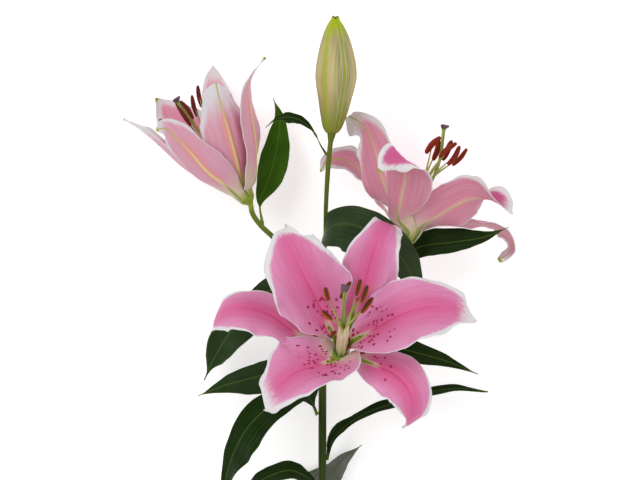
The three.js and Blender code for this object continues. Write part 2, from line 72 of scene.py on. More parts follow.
# Tepals stand in two rings, each at a radius from the bloom's axis. "flare" is how far they lean out over
# their first "rise" millimetres, "claw" is half their width at the foot, and "share" is the greatest half
# width as a share of the distance from the axis.
WHORLS = {
    "inner": {"radius": 4.6, "rise": 6, "flare": 1.5, "claw": 3.6, "share": 0.94},
    "outer": {"radius": 6.1, "rise": 5, "flare": 2.2, "claw": 4.4, "share": 0.8},
}
NEXT_TURN = 60  # degrees from one tepal or stamen to the next
TEPAL_TAPER = 0.85  # below 1 gives a blunt tip
RUFFLES = 3.5  # waves along a tepal's edge
DISC_RADIUS = 3.9  # of the disc that the pistil and the stamens grow from
OVARY_LENGTH = 26.0
FILAMENT_RING_RADIUS = 3.0
ANTHER_LENGTH = 18.0
BUD_RADIUS = 16.2
BUD_RIDGE = 0.05  # how far the three midribs stand out, as a share of the radius
LEAF_STALK_HALF_WIDTH = 1.6
ROOT_DEPTH = 1.6  # how far the foot of a piece is sunk into what it grows from

# Stem: radii of the bud's stalk at its foot, middle and top, and where the green turns yellow towards the
# flowers, as how strongly, from how far off and up to how near
BUD_STALK_RADII = (1.6, 2.1, 3.6)
SEAT_YELLOWING = [(1.0, 16, 7), (0.5, 75, 14)]
BUD_YELLOWING = (0.45, 140, 5)
CUSHION = {"height": 0.9, "length": 2.2, "width": 2.4}  # below each stripped leaf
SCAR = {"rise": 0.8, "length": 0.5, "width": 1.9}
CUT_ROUNDING = 1.2  # the cut's edge is rounded as far as this from its end
CUT_FACING = 0.6  # least cosine between a face of the cut and the end's own direction
CUP_REACH = 1.4  # how far down a stalk its swelling starts, in lengths of the receptacle
CUP_FOOT = 0.7  # its radius there, in radii of the stalk

# Tepals: how the funnel at the foot passes into the cup, and the relief of the blade
TEPAL_TIP_HALF_WIDTH = 0.6
LOBE_HALF_WIDTH = 4.0  # a narrower part of a blade bears smaller lobes
FUNNEL_TO_CUP = (0.08, 0.42)
TEPAL_WANDER = (0.025, 4)  # how far and in how many waves an edge wanders
FRILLS = 9.0  # finer waves on top of those
FRILL_SHARE = 0.22  # height of a frill where that of a wave is 1
WAVED_REACH = 1.15  # beyond this share of the half width the waves grow no more
FURROW_WIDTHS = (1.5, 2.6)  # at the foot and further out
FOLDS = 1.5  # soft folds on each half, which run lengthwise
FOLD_HEIGHT = 0.35
MARGIN_AT_FOOT = 0.5  # breadth of the pale margin there
HOOK_THICKNESS = 1.5  # of the small hook that ends an outer tepal
HOOK_SWELLS = (0.955, 0.985)
HOOK_START = 0.972  # its green colour starts here

# Raised spots of a tepal: where they lie, as shares of its length and width, and their form
SPOT_ZONE = (0.13, 0.34)  # where they start and how much further they reach
SPOT_CROWDING = 1.1  # above 1, they crowd towards the throat
SPOT_SPREAD = 0.72  # how far out they lie near the throat
SPOT_CLEARANCE = 0.07  # how far they keep off the midrib
SPOT_SIZES = (0.6, 1.25)  # the smallest and the largest, in middling radii
SPOT_STRETCH = (2.4, 1.25)  # how long they are near the throat and further out
SPOT_HEIGHT = 0.9
SPOT_PROFILE = [(1.0, -0.25), (0.9, 0.35), (0.5, 0.78)]  # width and height of its rings
OUTER_SPOTS_FEWER = 6  # so many times fewer spots on an outer tepal

# Pistil and stamens: profiles are pairs of a share of the length and a radius
DISC_HEIGHT = 1.6
PISTIL_PROFILE = [(0, 2.2), (0.03, 2.9), (0.26, 2.9), (0.32, 1.5), (0.5, 1.3), (0.93, 1.35), (1, 1.8)]
OVARY_RIDGE = 0.09  # height of its six ridges, as a share of the radius
OVARY_TO_STYLE = (0.22, 0.3)  # where the ridges die out
STIGMA_PROFILE = [(0, 1.4), (0.3, 1.9), (0.55, 2.9), (0.78, 3.5), (0.92, 3.2), (1, 2.2)]
STIGMA_LOBE = 0.24  # how far its three lobes stand out, as a share of the radius
STIGMA_RISE = 0.3  # how far it stands above the style's end
STIGMA_STEPS = 8  # the stigma starts so many steps before the style's end
FILAMENT_PROFILE = [(0, 1.8), (0.5, 1.6), (0.62, 0.9), (0.85, 0.6), (1, 0.35)]
FILAMENT_UPRIGHT = 30.0  # up to here the filaments stand close round the ovary
FILAMENT_PARTING = 52.5  # and from here each goes its own way
FILAMENT_PARTING_RADIUS = 3.3
ANTHER_RADIUS = 1.9
ANTHER_BOW = (0.9, 0.4)  # how far its ends lie back and its middle stands forward
ANTHER_LOBE = 0.16  # this, the seam and the grain are shares of its radius
ANTHER_SEAM_DEPTH = 0.3
ANTHER_SEAM_WIDTH = 0.06
POLLEN_GRAIN = 0.05

# Relief and tips of the bud
BUD_RIB = {"height": 0.45, "width": 2.2}
BUD_LIP = {"height": 0.3, "width": 0.7, "off_seam": 1.3}
BUD_SEAM_WIDTH = 0.55
BUD_FLUTES = 36
BUD_FLUTE_HEIGHT = 0.1
BUD_TIPS = {"start": 0.965, "spread": 0.4, "length": 0.9}  # how its three tips part
BUD_LEAST_RADIUS = 0.3

# Leaves
LEAF_TIP_HALF_WIDTH = 0.4
LEAF_EDGE_THICKNESS = 0.3
LEAF_FOLD = (20, 14, 8)  # how far its halves fold up at the foot, middle and tip, in degrees
LEAF_WANDER = (0.03, 3)  # how far and in how many waves an edge wanders
LEAF_WAVES = 2.5
LEAF_WAVE_HEIGHT = 0.8
LEAF_CHANNEL = 0.55  # depth of the channel over the midrib
LEAF_GROOVE = 0.16  # depth of the grooves over the veins
VEINED_HALF_WIDTH = 2  # a narrower part has no grooves
LEAF_TONES = 0.15  # the green of leaves without a tone of their own differs by so much

# How finely the pieces are divided, along and round or across
TEPAL_ROWS, TEPAL_COLUMNS = 96, 40
LEAF_ROWS, LEAF_COLUMNS = 96, 30
BUD_ROWS, BUD_SIDES = 110, 108
PISTIL_ROWS, PISTIL_SIDES = 150, 24
STIGMA_ROWS, STIGMA_SIDES = 18, 36
FILAMENT_ROWS, FILAMENT_SIDES = 60, 12
ANTHER_ROWS, ANTHER_SIDES = 36, 28
MAIN_STEM_ROWS, BUD_STALK_ROWS, PEDICEL_ROWS, CUP_ROWS = 240, 120, 100, 16
STALK_SIDES = 32
STEM_SOFTENING = 6  # rounds in which the skin of the stem is smoothed
SPOT_SIDES = 8
MIDRIB_CROWDING = 1.3  # above 1, the columns of a blade lie closer together at its midrib
FLAT_ARCH = 1e-3  # stands for an arch of nought
FINE_STEPS = 60  # in which each span of a curve is measured
SWELL_STEPS = 400  # in which the swell of the bud is measured

# Places of the materials of a tepal or leaf, of a pistil with its stamens, and of the stem's cut
INNER_FACE, OUTER_FACE, SPOT, HOOK = range(4)
PISTIL, STIGMA, FILAMENT, ANTHER = range(4)
CUT = 1

# Where the random draws start
SEEDS_PER_BLOOM = 100
HEART_SEED = 500
LEAF_SEED = 900

# Light that spreads inside petals: how far each colour goes, and its scale in metres
TISSUE_GLOW = (1.0, 0.45, 0.4)
TISSUE_DEPTH = 0.003

# Stage, in metres: the soft lights with their power's property, width and place, the point that they look
# at, the table and the camera
LIGHTS = [
    ("key_light", "key_power", 1.6, (-1.3, 1.2, 2.4)),
    ("right_light", "fill_power", 1.8, (1.7, 0.6, 2.2)),
    ("near_light", "fill_power", 1.8, (0.2, -1.8, 2.2)),
]
LIT_POINT = (0, 0.05, 0.05)
TABLE_PATCHES = 0.4
TABLE_UNEVENNESS = 0.985
VIEW_MIDDLE = 0.0856  # the height in the picture that the camera looks at
SENSOR_WIDTH = 36  # in millimetres
CAMERA_REACH = 50  # how far it sees

# Blooms, with angles in degrees. "seat" is where a bloom stands on its stalk and "axis" the way it looks.
# "turn" is the angle of the first inner tepal round the axis, from which inner and outer ones take turns,
# and "tone" sets its colours: 0 for the open bloom, 0.35 for the half open one and 0.8 for the oldest. Each
# anther has its middle and the way it lies. Where they are given, the style bends at "style_bend", and the
# anthers show their seam to "anther_face" and are as thick as "anther_radius".
# A tepal has its "path" from the throat to the tip and its greatest "width". "rise" below 1 widens it
# sooner, "cup" bends its halves at the middle and the tip, "twist" turns it at the foot, middle and tip,
# "margin" is the breadth of its pale margin at the sides and the tip, and "ruffle" the height of its waves.
# "lobes" draw out its edges, each with its middle and spread along the tepal and how far the left and the
# right edge reach.
FRONT_BLOOM = {
    "name": "front_bloom",
    "seat": (17, -5, 86),
    "axis": (0.03, 0.45, 0.89),
    "turn": -8,
    "tone": 0.0,
    "tepals": [
        {
            "path": [
                (25, 4, 104), (41, 14, 122), (61, 26, 134), (84, 33, 140), (104, 32, 137),
                (118, 25, 128), (124, 21.5, 119),
            ],
            "width": 58, "rise": 0.8, "cup": (12, -14), "margin": (5, 22), "ruffle": 2.4,
            "lobes": [(0.65, 0.16, 0, 2), (0.88, 0.09, 0, -5)],
        },
        {
            "path": [
                (27, -9, 95), (45, -14, 104), (62, -23, 112), (72, -37, 117), (73, -53, 111),
                (70, -61, 99), (66, -64, 91),
            ],
            "width": 40, "rise": 0.7, "cup": (-4, -16), "twist": (0, 32, 26), "margin": (5, 7),
            "ruffle": 1.6, "lobes": [(0.83, 0.11, 0, -7)],
        },
        {
            "path": [
                (10, -10, 105), (-2, -13, 121), (-18, -18, 133), (-33, -29, 136), (-43, -41, 128),
                (-43, -47.5, 117),
            ],
            "width": 60, "rise": 0.7, "cup": (16, -10), "margin": (8, 24), "ruffle": 2.2,
            "lobes": [
                (0.05, 0.04, 4, 0), (0.1, 0.06, 7, 0), (0.19, 0.09, 12, 0), (0.29, 0.06, 6, 0),
                (0.08, 0.07, 0, 9), (0.2, 0.1, 0, 7), (0.35, 0.1, 0, 6), (0.45, 0.08, 0, 3),
            ],
        },
        {
            "path": [
                (3, 1, 91), (-18, 11, 94), (-41, 27, 102), (-62, 32, 107), (-77, 28, 101),
                (-84, 20, 92), (-85, 13, 85),
            ],
            "width": 41, "cup": (-4, -14), "twist": (0, -8, -8), "margin": (3, 6), "ruffle": 1.6,
            "lobes": [(0.68, 0.18, 4, 0)],
        },
        {
            "path": [
                (10, 11, 105), (0, 33, 123), (-12, 56, 136), (-22, 76, 139), (-28, 90, 131),
                (-28, 94.5, 121),
            ],
            "width": 63, "rise": 0.8, "cup": (10, -12), "margin": (6, 12), "ruffle": 2.6,
            "lobes": [
                (0.17, 0.09, -8, 0), (0.34, 0.08, 4, 0), (0.45, 0.12, 0, 3), (0.76, 0.1, 3, 0),
                (0.9, 0.1, -2, 8),
            ],
        },
        {
            "path": [
                (24, 20, 93), (33, 44, 108), (39, 66, 119), (45, 84, 123), (50, 95.5, 117),
                (53, 99, 107), (53, 95, 97),
            ],
            "width": 42, "cup": (-4, -10), "twist": (0, 6, 6), "margin": (4, 10), "ruffle": 1.6,
            "lobes": [(0.5, 0.2, 0, 3), (0.8, 0.08, -2, 1), (0.91, 0.06, 1, 6), (0.97, 0.03, 0, 4)],
        },
    ],
    "stigma": (19, 49, 170),
    "anthers": [
        ((30, 49, 162), (0.18, 0.7, -0.69)),
        ((37, 35, 156), (0.5, 0.66, -0.56)),
        ((5, 27, 152), (0.4, -0.36, 0.84)),
        ((5, 44, 158), (0.12, -0.55, 0.83)),
        ((20, 47, 150), (0.45, 0.7, -0.55)),
        ((35, 44, 160), (0.26, 0.72, -0.64)),
    ],
}
LEFT_BLOOM = {
    "name": "left_bloom",
    "seat": (-59, 119, 50),
    "axis": (-0.58, 0.81, -0.05),
    "turn": 65,
    "tone": 0.35,
    "tepals": [
        {
            "path": [
                (-64, 135, 60), (-68, 151, 66), (-73, 170, 71), (-78, 188, 72), (-82, 203, 69),
                (-84, 212, 64),
            ],
            "width": 46, "cup": (34, 20), "margin": (7, 22), "ruffle": 0.6,
            "lobes": [(0.95, 0.07, 7, 2), (0.12, 0.1, 3, 0)],
        },
        {
            "path": [
                (-76, 130, 64), (-90, 141, 72), (-104, 157, 78), (-115, 168, 80), (-124, 175, 77),
                (-131, 174, 71),
            ],
            "width": 40, "cup": (28, 0), "margin": (3, 7), "ruffle": 0.6,
            "lobes": [(0.45, 0.3, 0, -4), (0.62, 0.12, -5, 0)],
        },
        {
            "path": [
                (-75, 124, 48), (-92, 133, 46), (-110, 145, 43), (-128, 161, 39), (-144, 174, 35),
                (-160, 184, 30),
            ],
            "width": 46, "cup": (34, 20), "margin": (5, 25), "ruffle": 0.6,
            "lobes": [(0.85, 0.1, 2, 2), (0.93, 0.05, 2, 2)],
        },
        {
            "path": [
                (-71.5, 129, 33.5), (-83, 141, 23), (-95, 156, 12), (-108, 172, 3), (-120, 186, -1),
                (-135, 202, 3),
            ],
            "width": 38, "cup": (24, 0), "margin": (5, 10), "ruffle": 0.6,
            "lobes": [(0.72, 0.14, 0, 6), (0.85, 0.1, 5, 0)],
        },
        {
            "path": [
                (-62, 135, 39), (-67, 151, 32), (-74, 170, 27), (-80, 190, 23), (-85, 210, 21),
                (-87, 228, 23),
            ],
            "width": 44, "cup": (30, 10), "margin": (4, 14), "ruffle": 0.6,
        },
        {
            "path": [
                (-53, 134, 55), (-52, 150, 57), (-53, 168, 58), (-56, 186, 57), (-58, 203, 56),
                (-55, 218, 54), (-44, 233, 50),
            ],
            "width": 34, "cup": (16, 0), "twist": (0, -24, 10), "margin": (3, 8), "ruffle": 0.6,
            "lobes": [(0.15, 0.12, 0, 6), (0.86, 0.1, 3, 4), (0.95, 0.05, 2, 2)],
        },
    ],
    "stigma": (-117, 200, 46),
    "anther_face": (0, 0, 1),
    "anther_radius": 1.6,
    "anthers": [
        ((-102, 194, 44), (0.25, -0.97, 0)),
        ((-107, 191, 54), (0.59, -0.81, 0)),
        ((-109, 185, 62), (0.55, -0.83, 0)),
        ((-122, 180, 40), (0.9, -0.4, 0)),
        ((-112, 190, 32), (0.6, -0.8, 0.1)),
        ((-98, 202, 38), (0.18, -0.98, 0)),
    ],
}
RIGHT_BLOOM = {
    "name": "right_bloom",
    "seat": (70, 86, 74),
    "axis": (0.32, 0.94, -0.12),
    "turn": 40,
    "tone": 0.8,
    "tepals": [
        {
            "path": [
                (79, 96, 79), (92, 104, 86), (105, 112, 93), (121, 119, 99), (135, 118, 100),
                (147, 114, 95), (154, 106, 89),
            ],
            "width": 41, "cup": (16, 45), "twist": (0, -45, 90), "margin": (5, 13), "ruffle": 1.8,
            "lobes": [(0.55, 0.15, -3, 0), (0.7, 0.08, 3, 3)],
        },
        {
            "path": [
                (63, 102, 88), (64, 117, 102), (67, 133, 117), (67, 146, 129), (62, 153, 139),
                (54, 149, 142), (46, 139, 139),
            ],
            "width": 40, "cup": (10, -10), "twist": (0, 0, -90), "margin": (5, 9), "ruffle": 1.0,
            "lobes": [(0.35, 0.25, 0, -8), (0.45, 0.12, 3, 0), (0.69, 0.06, 3, 0), (0.82, 0.1, 5, 0)],
        },
        {
            "path": [
                (63, 102, 79.5), (57, 118, 83.5), (50, 136, 83), (45, 157, 79), (39, 172, 72),
                (32, 180.5, 64), (23.5, 186, 55),
            ],
            "width": 42, "cup": (10, -14), "twist": (0, 40, 15), "margin": (6, 14), "ruffle": 2.2,
            "lobes": [(0.3, 0.1, 0, 3), (0.62, 0.15, -4, 0), (0.95, 0.055, 0, 8)],
        },
        {
            "path": [
                (56, 105, 60), (43.5, 127, 49), (33, 143, 43), (19, 151, 38), (6, 149, 35), (0, 141, 33),
            ],
            "width": 28, "cup": (-4, -10), "twist": (0, 35, 90), "margin": (3, 7), "ruffle": 1.6,
            "lobes": [(0.22, 0.12, 3, 7), (0.72, 0.12, 4, -2)],
        },
        {
            "path": [
                (74, 99, 63), (79, 109, 50), (86, 115, 31), (93, 118, 13), (101, 120, 2), (109, 122, -1),
                (116, 123, 1),
            ],
            "width": 34, "cup": (10, 0), "margin": (4, 10), "ruffle": 1.0,
        },
        {
            "path": [
                (83, 94, 63.5), (101, 99, 56), (125, 100, 54), (143, 96, 55), (154, 87, 54),
                (155, 77, 51), (144, 69, 50),
            ],
            "width": 32, "cup": (-4, -10), "margin": (3, 10), "ruffle": 1.2,
            "lobes": [(0.35, 0.15, 0, 5), (0.75, 0.25, 5, 1)],
        },
    ],
    "stigma": (100, 178, 66),
    "style_bend": (95, 146, 69),
    "anther_radius": 2.35,
    "anthers": [
        ((108, 153, 72), (0.53, 0.85, 0)),
        ((102, 158, 80), (0.78, 0.63, 0)),
        ((90, 162, 78), (0.67, 0.74, 0.1)),
        ((94, 158, 64), (0.27, 0.96, 0)),
        ((103, 158, 50), (0.4, 0.9, 0.2)),
        ((113, 152, 60), (0.65, 0.76, 0)),
    ],
}
BLOOMS = (FRONT_BLOOM, LEFT_BLOOM, RIGHT_BLOOM)

# The stem and its stalks
MAIN_STEM = [(2, -265, 3.7), (3, -190, 16), (2, -110, 29), (2, -40, 41), (2, 20, 52), (2, 52, 57)]
BUD_STALK = [(2, 40, 55), (4, 82, 62), (5, 118, 68), (7, 150, 73), (9.4, 172.1, 76.6)]
PEDICELS = (
    (FRONT_BLOOM, [(2, -30, 43), (5, -24, 57), (15, -14, 70)]),
    (LEFT_BLOOM, [(2, 32, 54), (-14, 58, 54), (-37, 87, 52), (-47.5, 97, 51), (-54.5, 107, 50.5)]),
    (RIGHT_BLOOM, [(2, 33, 54), (24, 49, 59), (50, 64, 68), (64, 73, 75)]),
)

# The bud, and its radius along it, as pairs of a share of its length and of its greatest radius
BUD_PATH = [(9.4, 172.8, 76.8), (11.8, 217, 85), (11.7, 263.5, 92)]
BUD_SWELL = [
    (0, 0.24), (0.02, 0.37), (0.065, 0.5), (0.17, 0.65), (0.31, 0.82), (0.42, 0.95), (0.495, 1),
    (0.58, 0.97), (0.67, 0.88), (0.81, 0.67), (0.91, 0.44), (0.97, 0.22), (1, 0.07),
]

# Leaves from the foot to the tip. "face" is where the upper side looks half way along, and "twist" and
# "fold" turn the leaf and fold up its halves at the foot, middle and tip, in degrees. "stalk" is the share
# of its length that stays narrow, "peak" the share of the rest where it is widest, and a "rise" below 1
# widens it sooner. "lobes" are as on a tepal. "tone" is near 0 for dark green, 0.4 for a greyer, lighter
# green that is painted sheen, and 0.9 for a fresh one.
LEAVES = [
    {
        "path": [
            (-46.7, 99.5, 47.9), (-48.5, 117, 43), (-42, 134, 38), (-36.5, 154, 33), (-34, 170, 30),
            (-33, 185, 28), (-38, 201, 27),
        ],
        "width": 24, "stalk": 0.14, "face": (0.2, 0, 1), "tone": 0.9,
    },
    {
        "path": [
            (4.4, 155, 77), (1, 161, 78), (-4, 171, 80), (-15, 181, 80), (-26, 184, 79),
            (-36, 182, 76), (-43.5, 176, 71),
        ],
        "width": 10, "stalk": 0.3, "face": (-0.2, 0.8, 0.6), "lobes": [(0.62, 0.1, 2, 0)],
    },
    {
        "path": [
            (3.5, 91.5, 66.8), (6, 95, 75), (13, 98, 83), (25, 98, 88), (47, 88, 91), (67, 69, 88),
            (80, 38, 77),
        ],
        "width": 34, "rise": 0.5, "fold": (14, 6, 4), "face": (0.2, 0.3, 1), "tone": 0.4,
        "lobes": [(0.09, 0.08, 1, 6), (0.3, 0.14, 0, 9)],
    },
    {
        "path": [(55, 65.5, 67.1), (81, 80, 58), (108, 84, 64), (132, 88, 74), (151, 96, 82)],
        "width": 19, "face": (0, 0.2, 1), "lobes": [(0.5, 0.3, 3, 0)],
    },
    {
        "path": [(5.7, 9, 50), (36, 6, 56), (73, -4, 56), (101, -12, 50), (128, -23, 40)],
        "width": 21, "face": (0, 0.3, 1),
    },
    {
        "path": [
            (6.4, -92, 31), (10, -78, 32), (21, -65, 36), (41, -53, 39), (62, -46, 39), (89, -38, 35),
            (111, -35, 29), (137, -38, 20),
        ],
        "width": 12, "peak": 0.55, "face": (0.2, 0.8, 0.6), "lobes": [(0.14, 0.09, 6, 1)],
    },
    {
        "path": [
            (-1.4, 46, 56), (-22, 51, 64), (-49, 40, 60), (-71, 14, 44), (-86, -10, 27), (-95, -29, 16),
        ],
        "width": 29, "face": (-0.3, 0.2, 1), "tone": 0.25,
        "lobes": [(0.42, 0.14, 0, -7), (0.5, 0.14, 5, 0), (0.74, 0.16, 6, 5)],
    },
    {
        "path": [(-1.7, -15, 46), (-24, -17, 54), (-52, -25, 52), (-77, -32, 43), (-99, -41, 32)],
        "width": 25, "face": (0, 0.2, 1), "tone": 0.25, "lobes": [(0.35, 0.25, 4, -2)],
    },
    {
        "path": [
            (-2.7, -55, 40), (-7, -45, 51), (-14, -37.5, 65), (-34, -44, 73), (-55, -61, 67),
            (-69, -84, 52), (-77, -110, 36), (-79, -133, 22),
        ],
        "width": 25, "stalk": 0.06, "face": (-0.3, 0.3, 1), "twist": (-70, 0, 0),
        "lobes": [(0.19, 0.07, 0, 8), (0.62, 0.2, 8, 0)],
    },
    {
        "path": [
            (-1.6, -115, 31), (-10, -107, 40), (-24, -100.5, 50), (-42, -105.5, 46), (-58, -117, 34),
            (-72, -137, 20),
        ],
        "width": 18, "face": (-0.1, 0.6, 0.8),
    },
    {
        "path": [(-0.2, -134, 21.4), (5, -116, 13), (17, -97, 9), (34, -82, 14)],
        "width": 17, "face": (0.2, 0, -1), "lobes": [(0.27, 0.17, 0, 20)],
    },
    {
        "path": [(6.6, -150, 22), (24, -146, 30), (50, -150, 30), (76, -162, 20), (98, -178, 8)],
        "width": 22, "face": (0, 0.3, 1),
    },
    {
        "path": [(-1.3, -176, 18), (-20, -170, 27), (-44, -174, 26), (-68, -188, 15), (-86, -204, 6)],
        "width": 20, "face": (0, 0.3, 1),
    },
]

# Where leaves were stripped from the stem: share of its length, and angle round it in degrees
LEAF_SCARS = [(0.035, 60), (0.075, 190), (0.115, 320), (0.155, 90), (0.2, 215), (0.245, 350)]


# Numbers and vectors

def vector(values):
    return np.array(values, dtype=float)


def unit(values):
    return values / np.linalg.norm(values)


def units(rows):
    """An array of vectors, each made one long."""
    return rows / np.linalg.norm(rows, axis=-1, keepdims=True)


def mix(first, second, share):
    return first + (second - first) * share


def smooth(start, end, value):
    """A smooth step from 0 at start to 1 at end."""
    share = np.clip((value - start) / (end - start), 0, 1)
    return share * share * (3 - 2 * share)


def bell(value, width):
    """A soft peak: 1 where the value is nought, and about a third at the width."""
    return np.exp(-((value / width) ** 2))


def along3(values, u):
    """Values at the foot, the middle and the tip, joined smoothly."""
    foot, middle, tip = values
    return np.where(u < 0.5, mix(foot, middle, smooth(0, 0.5, u)), mix(middle, tip, smooth(0.5, 1, u)))


def wander(random, u, waves):
    """A smooth random wave along u, about -1 to 1."""
    wave = np.zeros_like(u)
    for octave in (1, 2, 3):
        wave += np.sin(TURN * octave * waves * u + random.uniform(0, TURN)) / octave
    return wave / 1.6


def ring_angles(sides):
    return TURN * np.arange(sides) / sides


def turned(side, face, degrees):
    """The direction at an angle from side towards face."""
    angle = math.radians(degrees)
    return side * math.cos(angle) + face * math.sin(angle)


def linear(red, green, blue):
    """A screen colour of 0 to 255 as the light values that Blender's colour properties hold."""
    shares = (value / 255 for value in (red, green, blue))
    return tuple(s / 12.92 if s <= 0.04045 else ((s + 0.055) / 1.055) ** 2.4 for s in shares)


# Spines: smooth curves with a frame carried along them

class Spine:
    """Evenly spaced points on a smooth curve through a path, each with its along, face and side."""

    def __init__(self, path, facing, steps, anchor=0.0, twist=(0, 0, 0)):
        self.u = np.linspace(0, 1, steps + 1)
        self.at, self.along, self.length = even_points(path, steps)
        start = round(anchor * steps)
        self.face = np.zeros_like(self.at)
        self.face[start] = unit(facing - self.along[start] * np.dot(facing, self.along[start]))
        for i in range(start, steps):
            self.face[i + 1] = self.carried(i, i + 1)
        for i in range(start, 0, -1):
            self.face[i - 1] = self.carried(i, i - 1)
        turns = along3(np.radians(twist), self.u)[:, None]
        self.face = self.face * np.cos(turns) + np.cross(self.along, self.face) * np.sin(turns)
        self.side = np.cross(self.along, self.face)

    def carried(self, i, j):
        """The face at i, carried to the neighbour j without twisting it, by two reflections."""
        step = self.at[j] - self.at[i]
        face = reflected(self.face[i], step)
        mirror = self.along[j] - reflected(self.along[i], step)
        carried = face if np.dot(mirror, mirror) < 1e-12 else reflected(face, mirror)
        return unit(carried)


def reflected(values, mirror):
    return values - mirror * (2 * np.dot(mirror, values) / np.dot(mirror, mirror))


def even_points(path, steps):
    """Points, directions and length of a centripetal Catmull-Rom curve through the path."""
    knots = vector(path)
    knots = np.vstack((2 * knots[0] - knots[1], knots, 2 * knots[-1] - knots[-2]))
    spans = np.array([cubic(*knots[i:i + 4]) for i in range(len(knots) - 3)])

    def values(t, slope=False):
        span = np.minimum(t.astype(int), len(spans) - 1)
        w = (t - span)[:, None]
        c = spans[span]
        if slope:
            return c[:, 1] + w * (2 * c[:, 2] + 3 * w * c[:, 3])
        return c[:, 0] + w * (c[:, 1] + w * (c[:, 2] + w * c[:, 3]))

    fine = np.linspace(0, len(spans), FINE_STEPS * len(spans) + 1)
    walked = np.concatenate(([0], np.cumsum(np.linalg.norm(np.diff(values(fine), axis=0), axis=1))))
    t = np.interp(np.linspace(0, walked[-1], steps + 1), walked, fine)
    along = values(t, slope=True)
    return values(t), along / np.linalg.norm(along, axis=1)[:, None], walked[-1]


def cubic(p0, p1, p2, p3):
    """The four coefficients of one span of the curve, from p1 to p2."""
    d0, d1, d2 = (math.sqrt(np.linalg.norm(b - a)) for a, b in ((p0, p1), (p1, p2), (p2, p3)))
    leaving = ((p1 - p0) / d0 - (p2 - p0) / (d0 + d1) + (p2 - p1) / d1) * d1
    arriving = ((p2 - p1) / d1 - (p3 - p1) / (d1 + d2) + (p3 - p2) / d2) * d1
    return p1, leaving, 3 * (p2 - p1) - 2 * leaving - arriving, 2 * (p1 - p2) + leaving + arriving


def rooted(path):
    """The path with a first point sunk into what it grows from."""
    foot, after = vector(path[0]), vector(path[1])
    return [foot + unit(foot - after) * ROOT_DEPTH, *path]


def profile_at(profile, u):
    """The radii of a profile of (share, radius) pairs, straight from pair to pair."""
    return np.interp(u, *zip(*profile))


def swell_at(swell, u):
    """A smooth curve through (share, value) pairs."""
    points, _, _ = even_points([(share, value, 0) for share, value in swell], SWELL_STEPS)
    return np.interp(u, points[:, 0], points[:, 1])


# Meshes

class Shell:
    """Points, faces and surface values of one piece while it is put together, in millimetres."""

    def __init__(self):
        self.points, self.share, self.place = [], [], []
        self.faces, self.looks = [], []
        self.count = 0

    def add(self, points, groups, share, place):
        """Adds a part. groups are its faces by kind, each with the number of its material."""
        for faces, look in groups:
            self.faces.append(np.asarray(faces) + self.count)
            self.looks.append(np.broadcast_to(look, len(faces)))
        self.points.append(points)
        self.share.append(np.broadcast_to(share, points.shape).copy())
        self.place.append(np.broadcast_to(place, points.shape).copy())
        self.count += len(points)

    def mesh(self, name):
        mesh = bpy.data.meshes.new(name)
        faces = [face for part in self.faces for face in part.tolist()]
        mesh.from_pydata((np.vstack(self.points) * MM).tolist(), [], faces)
        mesh.polygons.foreach_set("material_index", np.concatenate(self.looks).astype(np.int32))
        give_values(mesh, np.vstack(self.share), np.vstack(self.place) * MM)
        return mesh


def give_values(mesh, share, place):
    """Keeps shares of a piece's length and width, and real distances on it, where materials read them."""
    for name, values in (("share", share), ("place", place)):
        attribute = mesh.attributes.new(name, "FLOAT_VECTOR", "POINT")
        attribute.data.foreach_set("vector", np.ascontiguousarray(values, dtype=np.float32).ravel())


def add_piece(mesh, materials, node):
    """Makes an object that rides with the model and stands for one of its nodes."""
    for material in materials:
        mesh.materials.append(material)
    mesh.polygons.foreach_set("use_smooth", np.ones(len(mesh.polygons), dtype=bool))
    mesh.update()
    piece = bpy.data.objects.new(mesh.name, mesh)
    bpy.context.scene.collection.objects.link(piece)
    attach(piece, BODY)
    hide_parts(node)
    return piece


def grid_faces(rows, columns):
    """Quads of a grid of points with rows + 1 rows and columns + 1 columns."""
    i, j = np.meshgrid(np.arange(rows), np.arange(columns), indexing="ij")
    across = columns + 1
    corner = (i * across + j).ravel()
    return np.stack((corner, corner + across, corner + across + 1, corner + 1), axis=1)


def blade_faces(rows, columns):
    """Quads of a closed blade: those of its inner face and rim, and those of its outer face."""
    across = columns + 1
    under = (rows + 1) * across
    inner = grid_faces(rows, columns)[:, ::-1]
    outer = inner[:, ::-1] + under
    i = np.arange(rows) * across
    left = np.stack((i, i + across, i + across + under, i + under), axis=1)
    right = left[:, ::-1] + columns
    j = np.arange(columns)
    foot = np.stack((j, j + under, j + 1 + under, j + 1), axis=1)
    tip = foot[:, ::-1] + rows * across
    return np.vstack((inner, left, right, foot, tip)), outer


def blade_sides(spine, half, arch, across, lift, thickness):
    """Points of a blade's inner and outer face, as grids of rows along it and columns across it."""
    arch = np.where(np.abs(arch) < FLAT_ARCH, FLAT_ARCH, arch)[:, None]
    body = np.clip(across, -1, 1)
    lobe = (across - body) * half[:, None]
    bend = arch * body
    radius = half[:, None] / arch
    out = radius * np.sin(bend) + lobe * np.cos(bend)
    rise = radius * (1 - np.cos(bend)) + lobe * np.sin(bend) + lift
    sides = []
    for layer in (thickness / 2, -thickness / 2):
        shift = spine.side[:, None] * (out - layer * np.sin(bend))[..., None]
        raised = spine.face[:, None] * (rise + layer * np.cos(bend))[..., None]
        sides.append(spine.at[:, None] + shift + raised)
    keep_on_table(sides if spine.face[-1, 2] > 0 else sides[::-1], thickness)
    return sides


def keep_on_table(sides, thickness):
    """Flattens what would sink into the table. The upper side comes first."""
    above, below = sides
    above[..., 2] = np.maximum(above[..., 2], thickness)
    below[..., 2] = np.maximum(below[..., 2], 0)


